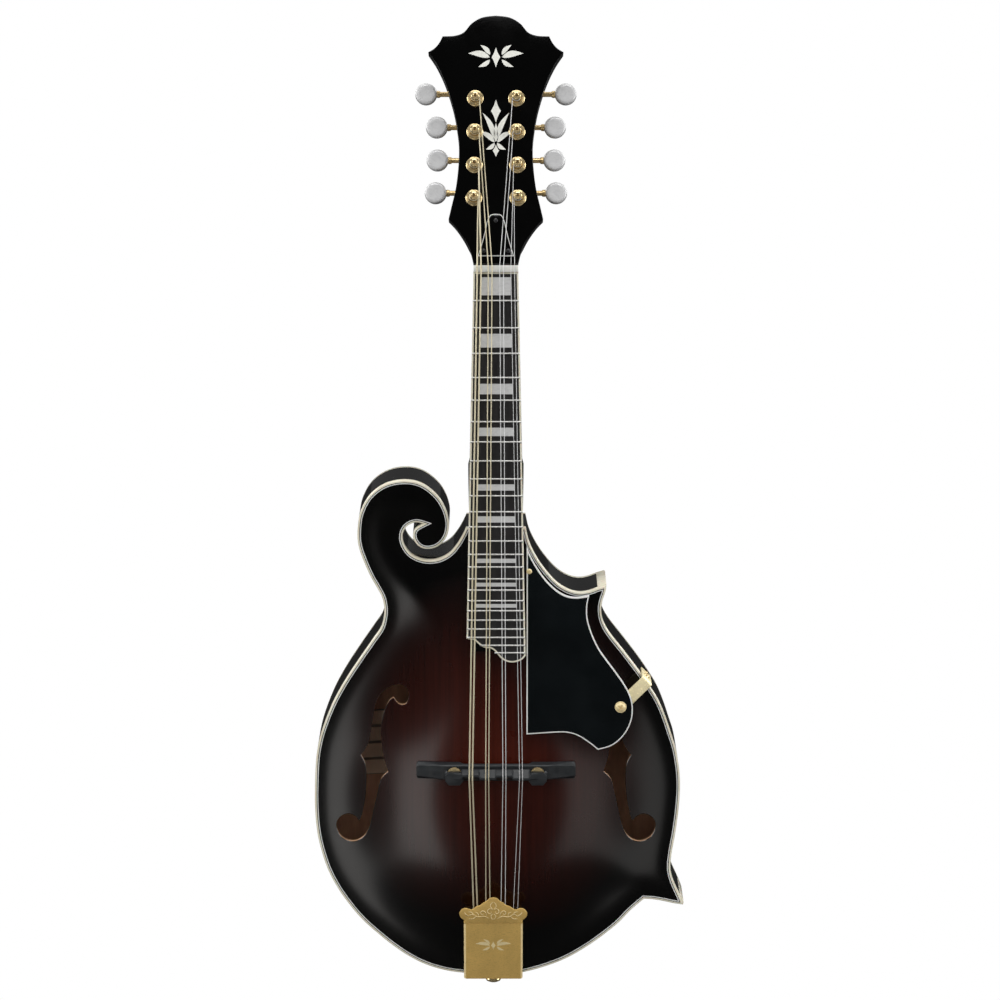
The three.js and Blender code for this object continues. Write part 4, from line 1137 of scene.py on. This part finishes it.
wheel_screw = screw(1.9, 0.7)
for name, side in SIDES:
    plate_screws = [moved(screw(1.5, 0.6), at(side * 14.9, PLATE_BACK, z, 0.3, math.pi))
                    for z in (43.6, 127.4)]
    piece(f"tuner_plate_{name}_fine", tuner_plate(side), GOLD, HEAD,
          replaces=f"tuner_plate_{name}", angle=30)
    piece(f"tuner_plate_screws_{name}", join(*plate_screws), GOLD_BRIGHT, HEAD)
    for i, z in enumerate(POST_HEIGHTS):
        label_ = f"{name}_{i + 1}"
        x = post_x[i]
        here = HEAD @ shift((side * x, 0, z))
        back_screw = moved(wheel_screw, at(0, WORM_DEPTH + 2.1, 0, 0.5 * i, math.pi))
        piece(f"post_{label_}_fine", join(post(), worm_wheel(), back_screw), GOLD_BRIGHT, here,
              f"post_{label_}", f"string_post_{label_}", angle=32)
        piece(f"bushing_{label_}", bushing(), GOLD_BRIGHT, here)
        machine = HEAD @ shift((side * x, WORM_DEPTH, z + WORM_RISE))
        if side < 0:
            machine = machine @ Matrix.Rotation(math.pi, 4, "Y")
        reach = BUTTON_CENTRES[i] - x
        piece(f"worm_{label_}_fine", worm(reach - 7.3), GOLD, machine, f"tuning_key_{label_}",
              f"worm_shaft_{label_}", angle=40)
        piece(f"button_{label_}_fine", button(), BUTTON, machine @ shift((reach, 0, 0)),
              f"tuning_key_{label_}", f"key_button_{label_}", angle=40)

# ---------------------------------------------------------------- bridge
BASE_TOP = -21.6
WHEEL_FRONT, WHEEL_BACK = -26.6, -24.2
SADDLE_BACK = -26.9


def bridge_base():
    """A thin bar on two feet that follow the soundboard."""
    rows = []
    xs = np.concatenate([np.linspace(-55.2, -24, 34), np.linspace(-23, 23, 20),
                         np.linspace(24, 55.2, 34)])
    for x in xs:
        far = abs(x)
        top = BASE_TOP + 2.2 * smooth(36, 46, far) + 2.2 * smooth(45, 55.2, far)
        foot = smooth(22.5, 25.5, far)
        rest = float(top_front(x, BRIDGE_Z)[0]) + 0.02
        bottom = (1 - foot) * -18.9 + foot * rest
        wide_top = 5.2 - 0.9 * smooth(38, 55, far)
        wide = 5.6 * (1 - foot) + 6 * foot
        end = 1 - 0.25 * smooth(54.3, 55.2, far)
        z = [wide, wide, wide_top, wide_top - 0.7, -wide_top + 0.7, -wide_top, -wide, -wide]
        y = [bottom, bottom - 1.2, top + 0.7, top, top, top + 0.7, bottom - 1.2, bottom]
        rows.append([(x, b, BRIDGE_Z + a * end) for a, b in zip(z, y)])
    return loft(rows)


def bridge_saddle():
    """A bar with a crest stepped for each pair of strings."""
    steps = [(-60, 0.6), (-21, 0.6), (-11.5, -1.4), (-0.2, 0.4), (11.5, -1.6), (21, -1.6), (60, -1.6)]

    def crest_at(x):
        value = steps[0][1]
        for start, shift_ in steps:
            value += (shift_ - value) * smooth(start - 0.5, start + 0.5, x)
        return value

    rows = []
    for x in np.linspace(-35.6, 35.6, 150):
        far = abs(x)
        top = SADDLE_CREST + 1.8 * smooth(24, 33, far) + 2.2 * smooth(32.5, 35.6, far)
        broad = 1 - smooth(22.5, 25, far)
        middle = crest_at(x) * broad
        half = 1.2 + 1.2 * (1 - broad)
        foot = 4.0 - 0.8 * smooth(30, 35, far)
        pocket = 1.8 * smooth(23.2, 24.6, far) * smooth(34.2, 32.8, far)
        z = [foot - pocket, foot - pocket, half + middle, half - 0.5 + middle, -half + 0.5 + middle,
             -half + middle, -foot, -foot]
        y = [SADDLE_BACK, SADDLE_BACK - 1.2, top + 0.5, top, top, top + 0.5, SADDLE_BACK - 1.2,
             SADDLE_BACK]
        rows.append([(x, b, BRIDGE_Z + a) for a, b in zip(z, y)])
    return loft(rows)


def knurled(radius, front, back, bore):
    a = angles(216)
    r = radius + 0.16 * np.clip(2 * np.cos(a * 36), -1, 1)
    ring = np.column_stack([r * np.cos(a), -r * np.sin(a)])
    return prism(ring, front, back, [circle(0, 0, bore, 28)], edge=0.3, steps=2)


def threaded(front, back):
    turns = np.arange(front + 0.4, back, 0.2)
    ring = [(1.95 if k % 4 in (1, 2) else 1.65, y) for k, y in enumerate(turns)]
    return lathe([(0, front), (1.4, front), *ring, (1.6, back), (0, back)], 28)


piece("bridge_base_fine", bridge_base(), EBONY_ACROSS, replaces="bridge_base",
      angle=30)
bosses, post_bores = [], []
for _, side in SIDES:
    corners = [(-6.3, 0.2), (-3.8, 2.6), (3.8, 2.6), (6.3, 0.2), (6.3, -3.6), (3.8, -6.6),
               (-3.8, -6.6), (-6.3, -3.6)]
    ring = polygon(np.array(corners) + (side * BRIDGE_POST_X, BRIDGE_Z), count=3)
    bosses.append(prism(ring, -31.2, SADDLE_BACK, edge=0.5, steps=2))
    post_bores.append(moved(lathe([(0, -30.4), (2.3, -30.4), (2.3, -25), (0, -25)], 28),
                            shift((side * BRIDGE_POST_X, 0, BRIDGE_Z))))
piece("bridge_saddle_fine", carve(bridge_saddle(), *post_bores), EBONY_ACROSS, body="saddle",
      replaces="bridge_saddle", angle=28)
bosses = [carve(boss, bore) for boss, bore in zip(bosses, post_bores)]
piece("bridge_saddle_bosses", join(*bosses), EBONY_ACROSS, body="saddle", angle=28)
for name, side in SIDES:
    where = BODY @ shift((side * BRIDGE_POST_X, 0, BRIDGE_Z))
    piece(f"bridge_post_{name}_fine", threaded(-28.2, -18.5), GOLD, where,
          replaces=f"bridge_post_{name}")
    piece(f"thumbwheel_{name}_fine", knurled(4.7, WHEEL_FRONT, WHEEL_BACK, 2.15), GOLD_BRIGHT, where,
          f"wheel_{name}", f"thumbwheel_{name}", angle=30)

# ---------------------------------------------------------------- tailpiece and end pin
def rounded(corners, radius, steps=5):
    """A closed ring with its corners rounded."""
    p = np.array(corners, float)
    ring = []
    for before, here_, after in zip(np.roll(p, 1, 0), p, np.roll(p, -1, 0)):
        a = (before - here_) / np.linalg.norm(before - here_)
        b = (after - here_) / np.linalg.norm(after - here_)
        half = math.acos(np.clip(np.dot(a, b), -1, 1)) / 2
        reach = min(radius / math.tan(half), 0.48 * np.linalg.norm(before - here_),
                    0.48 * np.linalg.norm(after - here_))
        start, end = here_ + a * reach, here_ + b * reach
        for t in np.linspace(0, 1, steps + 1):
            ring.append((1 - t) ** 2 * start + 2 * t * (1 - t) * here_ + t * t * end)
    return np.array(ring)


sheet_side = np.array([(-11.3, -450), (-6.75, -500.4), (-6.3, -501.5), (-5.2, TAIL_END),
                       (30, TAIL_END), (30, TAIL_END - 1.2), (-5.9, TAIL_END - 1.2),
                       (-7.3, TAIL_END - 0.5), (-7.9, -500.6), (-12.5, -450)], float)
base_shape = side_bar(sheet_side, 36)
hooks = []
for _, _, _, tail, radius, _ in STRINGS:
    x = tail - TAIL_X
    hook = spline([(x, -10.9, HOOK_Z - 3.2), (x, -14.6, HOOK_Z - 3.3), (x, -16.1, HOOK_Z - 3.9),
                   (x, -16.4, HOOK_Z - 5.2), (x, -15.8, HOOK_Z - 6.8)], 0.5)
    hooks.append(tube(hook, 0.6, 10))
bar_plate = prism(rounded([(-16.5, HOOK_Z - 1), (16.5, HOOK_Z - 1), (16.5, HOOK_Z - 6.5),
                           (-16.5, HOOK_Z - 6.5)], 1.5), -13.2, -10.4, edge=0.3, steps=2)
piece("tail_base_fine", base_shape, GOLD, TAIL, replaces="tailpiece_base",
      bevel=0.25, angle=30)
piece("tail_hooks", join(bar_plate, *hooks), GOLD, TAIL)
tail_screws = [moved(screw(2.2, 1.0), shift((x, y, TAIL_END - 1.2)) @ Matrix.Rotation(math.pi / 2, 4, "X"))
               for x, y in ((-12, 6), (12, 6), (-12, 24), (12, 24))]
piece("tail_screws", join(*tail_screws), GOLD_BRIGHT, TAIL)

crown = Outline(mirrored(CROWN_HALF), 0.7)
piece("tail_crown", prism(crown.ring(), 0, 1, edge=0.25, steps=3), GOLD_SATIN, COVER, "cover",
      "tailpiece_cover")


def cover_plate():
    """The folded cover below its crown: a plate with two turned-down sides."""
    a = np.linspace(0, math.pi / 2, 6)
    right = [(20.6, 5.6), *[(18.6 + 2 * math.cos(t), 2 - 2 * math.sin(t)) for t in a]]
    inner_ = [(18.6 + math.cos(t), 2 - math.sin(t)) for t in a[::-1]]
    right_in = [*inner_, (19.6, 5.6)]
    left = [(-x, y) for x, y in right[::-1]]
    left_in = [(-x, y) for x, y in right_in[::-1]]
    loop = [*right, *left, *left_in, *right_in]
    rows = [[(x, y, z) for x, y in loop] for z in (-21, -30, -40, -50, -60, -65.7)]
    return loft(rows)


# Faces turned sideways take the paler gold copy: a painted highlight along the folds.
piece("tail_cover_fine", cover_plate(), GOLD_SATIN, COVER, "cover", angle=40,
      second=(GOLD_FOLD_HIGHLIGHT, lambda normal, centre: abs(normal.x) > 0.2))


def engraved(name, lines, radius=0.24):
    """Fine raised strokes, half sunk in the cover."""
    strokes = []
    for line in lines:
        for sign in (-1, 1):
            path = spline([(sign * x, z) for x, z in line], 0.5)
            path = np.column_stack([path[:, 0], np.full(len(path), -0.02), path[:, 1]])
            taper = np.sin(np.linspace(0.25, math.pi - 0.25, len(path))) ** 0.5
            strokes.append(tube(path, radius * taper, 6))
    piece(name, join(*strokes), GOLD_LIGHT, COVER, "cover")


engraved("crown_engraving", [
    [(0.3, -3.6), (1.7, -5.2), (1.9, -7.4), (0.3, -9.2)],
    [(0.3, -9.4), (2.6, -9.0), (4.0, -10.6), (3.2, -12.6), (1.4, -12.4), (1.7, -11.2)],
    [(0.4, -13.0), (1.6, -14.6), (1.2, -16.6), (0.2, -17.6)],
    [(4.6, -14.6), (5.4, -11.8), (7.4, -10.6), (8.8, -12.0), (7.9, -13.6), (6.8, -12.9)],
    [(3.0, -16.6), (6.6, -15.0), (10.6, -15.4), (14.4, -13.4), (17.2, -14.8)],
    [(10.2, -15.0), (10.8, -12.6), (12.6, -11.6)],
    [(13.6, -13.9), (15.0, -11.8), (17.4, -11.4)],
    [(12.0, -15.0), (14.0, -16.9), (17.0, -17.0)],
    [(17.0, -14.9), (19.2, -13.4), (20.2, -11.4)],
])
# A small sprig of plain leaves takes the middle of the cover.
inlay("cover_sprig", [lozenge(0, -38.5, 1.6, 3.4),
                      *spray((2.2, -38.5, 10.5, 2.6, LEVEL - 0.12, -1.0),
                             (2.4, -39.6, 6.0, 1.7, LEVEL + 0.5, 0.5),
                             (2.4, -37.4, 6.0, 1.7, LEVEL - 0.7, -0.5))],
      GOLD_LIGHT, COVER, "cover", 0.05, 0.3)

pin_profile = [(0, -514.2), (3.4, -514.1), (5.0, -513.3), (5.75, -511.9), (5.6, -510.9), (4.6, -509.6),
               (4.1, -508.2), (4.2, -506.8), (5.2, -505.6), (5.85, -505.0), (5.9, -504.4),
               (5.7, TAIL_END - 1.6), (4, TAIL_END - 1.5), (3.8, -486), (0, -486)]
pin_points, pin_faces = lathe(pin_profile, 48)
pin_points = pin_points[:, [0, 2, 1]] + (TAIL_X, PIN_DEPTH, 0)
piece("end_pin_fine", (pin_points, pin_faces), GOLD_BRIGHT, replaces="end_pin")

# ---------------------------------------------------------------- pickguard and its bracket
def guard_front(x, z):
    return -14.6 - 0.052 * (-188 - z)


def guard_back(x, z):
    return guard_front(x, z) + 2.5


guard = Outline(GUARD_RUNS, 1.5)
GUARD_EDGE = 0.85
edge_ring, core_ring = guard.ring(), guard.ring(GUARD_EDGE)


def sloped_band(outer, inner, front, back, drop=0.15):
    """A flat moulding between two rings of equal count, on a sloping face."""
    rows = [(outer, back, 0), (outer, front, drop), (shrink(outer, drop), front, 0),
            (inner, front, 0), (inner, back, 0)]
    return hoop([np.column_stack([r[:, 0], depth_at(d, r) + extra, r[:, 1]]) for r, d, extra in rows])


piece("guard_edge", sloped_band(edge_ring, core_ring, guard_front, guard_back), WHITE)
piece("guard_plate", prism(core_ring, guard_front, guard_back), PLASTIC,
      replaces="pickguard")
for name, x, z, radius, height in (("upper", 22.9, -205.6, 1.9, 0.9), ("lower", 86.2, -300.9, 3.3, 1.5)):
    lift = float(guard_front(x, z))
    parts = [moved(screw(radius, height), at(x, lift, z, 0.5))]
    if name == "lower":
        parts.append(moved(lathe([(0, -0.25), (3.9, -0.25), (4.1, 0.1), (0, 0.1)], 40), at(x, lift, z)))
    piece(f"guard_screw_{name}", join(*parts), GOLD_LIGHT)

# The strap runs from under the guard over the binding and folds down the rib.
strap = [(-17.2, -3), (-17.2, 23.6), (-16.7, 24.9), (-15.4, 25.5), (9, 25.5), (9, 24.3),
         (-15.2, 24.3), (-15.9, 24.0), (-16.1, 23.3), (-16.1, -3)]
strap_place = BODY @ shift((86.6, 0, -301)) @ Matrix.Rotation(math.pi / 4, 4, "Y")
strap_shape = side_bar(np.array(strap, float), 9)
piece("guard_bracket_fine", strap_shape, GOLD_PALE, strap_place,
      replaces="pickguard_bracket", bevel=0.3, angle=30)
clamp_screw = [moved(screw(2.4, 1.3), shift((0, -4, 25.5)) @ Matrix.Rotation(-math.pi / 2, 4, "X")),
               moved(screw(1.6, 0.8), shift((0, 5.5, 25.5)) @ Matrix.Rotation(-math.pi / 2, 4, "X"))]
piece("guard_bracket_screws", join(*clamp_screw), GOLD_BRIGHT, strap_place)
post_drop = float(guard_back(86.2, -300.9))
piece("guard_spacer", lathe([(0, post_drop), (2.6, post_drop), (2.6, -17.2), (0, -17.2)], 24),
      GOLD, BODY @ shift((86.2, 0, -300.9)))

# ---------------------------------------------------------------- strings
def in_body(place, x, y, z):
    return BODY.inverted() @ place @ Vector((x, y, z))


for name, nut, saddle, tail, radius, index in STRINGS:
    side = 1 if nut > 0 else -1
    over = NUT_FACE - GAP - radius
    post_place = HEAD @ shift((side * post_x[index], 0, POST_HEIGHTS[index]))
    landing = in_body(post_place, -side * (WAIST + radius), STRING_AT_POST[index], 0)
    stops = [Vector((tail, HOOK_DEPTH - 1.2, HOOK_Z - 1.6)),
             Vector((saddle, SADDLE_CREST - 2 * GAP - radius, BRIDGE_Z - 1.2)),
             in_body(NECK, nut, over, 0), in_body(NECK, nut, over, NUT_LENGTH), landing]
    path = [tuple(stops[0])]
    for a, b, c in zip(stops, stops[1:], stops[2:]):
        near = min(1.2, 0.3 * (a - b).length, 0.3 * (c - b).length)
        u, v = (a - b).normalized() * near, (c - b).normalized() * near
        path += [tuple(b + u), tuple(b + (u + v) * 0.25), tuple(b + v)]
    path.append(tuple(stops[-1]))
    long = even(np.array(path[:2]), step=8)
    path = np.vstack([long[:-1], np.array(path[1:])])
    loop = circle(tail, HOOK_Z - 3.6, 1.25, 20)
    loop = np.column_stack([loop[:, 0], np.full(20, HOOK_DEPTH + 0.9), loop[:, 1]])
    twist = [(tail + 0.45 * math.sin(t * 9), HOOK_DEPTH + 0.4 - 0.4 * t + 0.3 * math.cos(t * 9),
              HOOK_Z - 2.4 + t * 1.4) for t in np.linspace(0, 4, 40)]
    metal_ = BRONZE if radius > 0.3 else STEEL
    piece(f"{name}_fine", join(tube(path, radius + 0.04, 12), tube(loop, max(0.2, radius * 0.6), 8, True),
                               tube(twist, max(0.2, radius * 0.6), 8)), metal_,
          replaces=name, angle=60)
    way = -1 if index == 0 else 1
    piece(f"coil_{name}", coil(side, radius, STRING_AT_POST[index], way), metal_, post_place,
          f"post_{'bass' if side < 0 else 'treble'}_{index + 1}", angle=60)

# ---------------------------------------------------------------- stage, light and camera
def floor_paint():
    """Pure white to the camera and dark to every other ray, so that it throws little light."""
    paint = Paint("pale_floor")
    glow = paint.node("Emission", {"Color": (1, 1, 1, 1), "Strength": 1.0})
    dull = paint.node("BsdfDiffuse", {"Color": (0.03, 0.03, 0.03, 1)})
    seen = paint.node("LightPath").outputs["Is Camera Ray"]
    blend = paint.node("MixShader", {0: seen, 1: dull.outputs[0], 2: glow.outputs[0]})
    paint.tree.links.new(blend.outputs[0], paint.tree.nodes["Material Output"].inputs["Surface"])
    paint.tree.nodes.remove(paint.shader)
    return paint.material


FLOOR_REACH, FLOOR_DEPTH = 30, 1.9
floor_corners = [(x * FLOOR_REACH, y * FLOOR_REACH, -FLOOR_DEPTH)
                 for x, y in ((-1, -1), (1, -1), (1, 1), (-1, 1))]
floor = mesh_object("floor", (np.array(floor_corners), [[0, 1, 2, 3]]))
floor.data.materials.append(floor_paint())


def area_light(name, place, aim, size, power, color):
    data = bpy.data.lights.new(name, "AREA")
    data.shape = "RECTANGLE"
    data.size, data.size_y = size
    data.energy = power
    data.color = color
    obj = bpy.data.objects.new(name, data)
    bpy.context.scene.collection.objects.link(obj)
    obj.location = place
    obj.rotation_euler = (Vector(aim) - Vector(place)).to_track_quat("-Z", "Y").to_euler()
    obj.visible_camera = False


WARM, PLAIN = (1, 0.97, 0.94), (1, 1, 1)
# name, place, height aimed at, size, power, colour
for name, place, height, size, power, color in (
        ("key_left", (-0.7, -2.5, -1.25), -0.35, (0.5, 0.9), 2.3, WARM),
        ("key_right", (0.78, -2.45, -1.26), -0.35, (0.5, 0.9), 1.1, WARM),
        ("side_left", (-2.2, -0.6, 0.3), -0.25, (1.0, 1.8), 26, PLAIN),
        ("side_right", (2.2, -0.6, 0.3), -0.25, (1.0, 1.8), 26, PLAIN),
        ("front_top", (0, -1.3, 2.2), -0.2, (1.6, 0.6), 16, PLAIN),
        ("overhead", (0, 0.5, 2.3), -0.1, (2.2, 2.2), 30, PLAIN),
        ("back_left", (-1.9, 1.9, 0.5), -0.25, (1.0, 1.6), 20, PLAIN),
        ("back_right", (1.9, 1.9, 0.5), -0.25, (1.0, 1.6), 20, PLAIN)):
    area_light(name, place, (0, 0, height), size, power, color)

# The sky is white to the camera, dim in reflections and softly bright to everything else.
FILL_SKY, MIRRORED_SKY = 0.68, 0.055
world = bpy.data.worlds.new("studio")
bpy.context.scene.world = world
world.use_nodes = True
tree = world.node_tree
tree.nodes.clear()
ray = add_node(tree, "LightPath")


def sky(strength):
    return add_node(tree, "Background", {"Color": (1, 1, 1, 1), "Strength": strength}).outputs[0]


def choose(kind, other, this):
    """One background for rays of a kind and another for the rest."""
    return add_node(tree, "MixShader", {0: ray.outputs[kind], 1: other, 2: this}).outputs[0]


lit = choose("Is Glossy Ray", sky(FILL_SKY), sky(MIRRORED_SKY))
add_node(tree, "OutputWorld", {"Surface": choose("Is Camera Ray", lit, sky(1.0))})

camera_data = bpy.data.cameras.new("camera")
camera_data.sensor_width = 36
camera_data.lens = 141.98
camera_data.clip_end = 200
camera = bpy.data.objects.new("camera", camera_data)
bpy.context.scene.collection.objects.link(camera)
camera.location = (0.0028, -2.6583, 0.4332)
camera.rotation_euler = (math.radians(77.4), 0, 0)
bpy.context.scene.camera = camera
bpy.context.scene.view_settings.view_transform = "Standard"
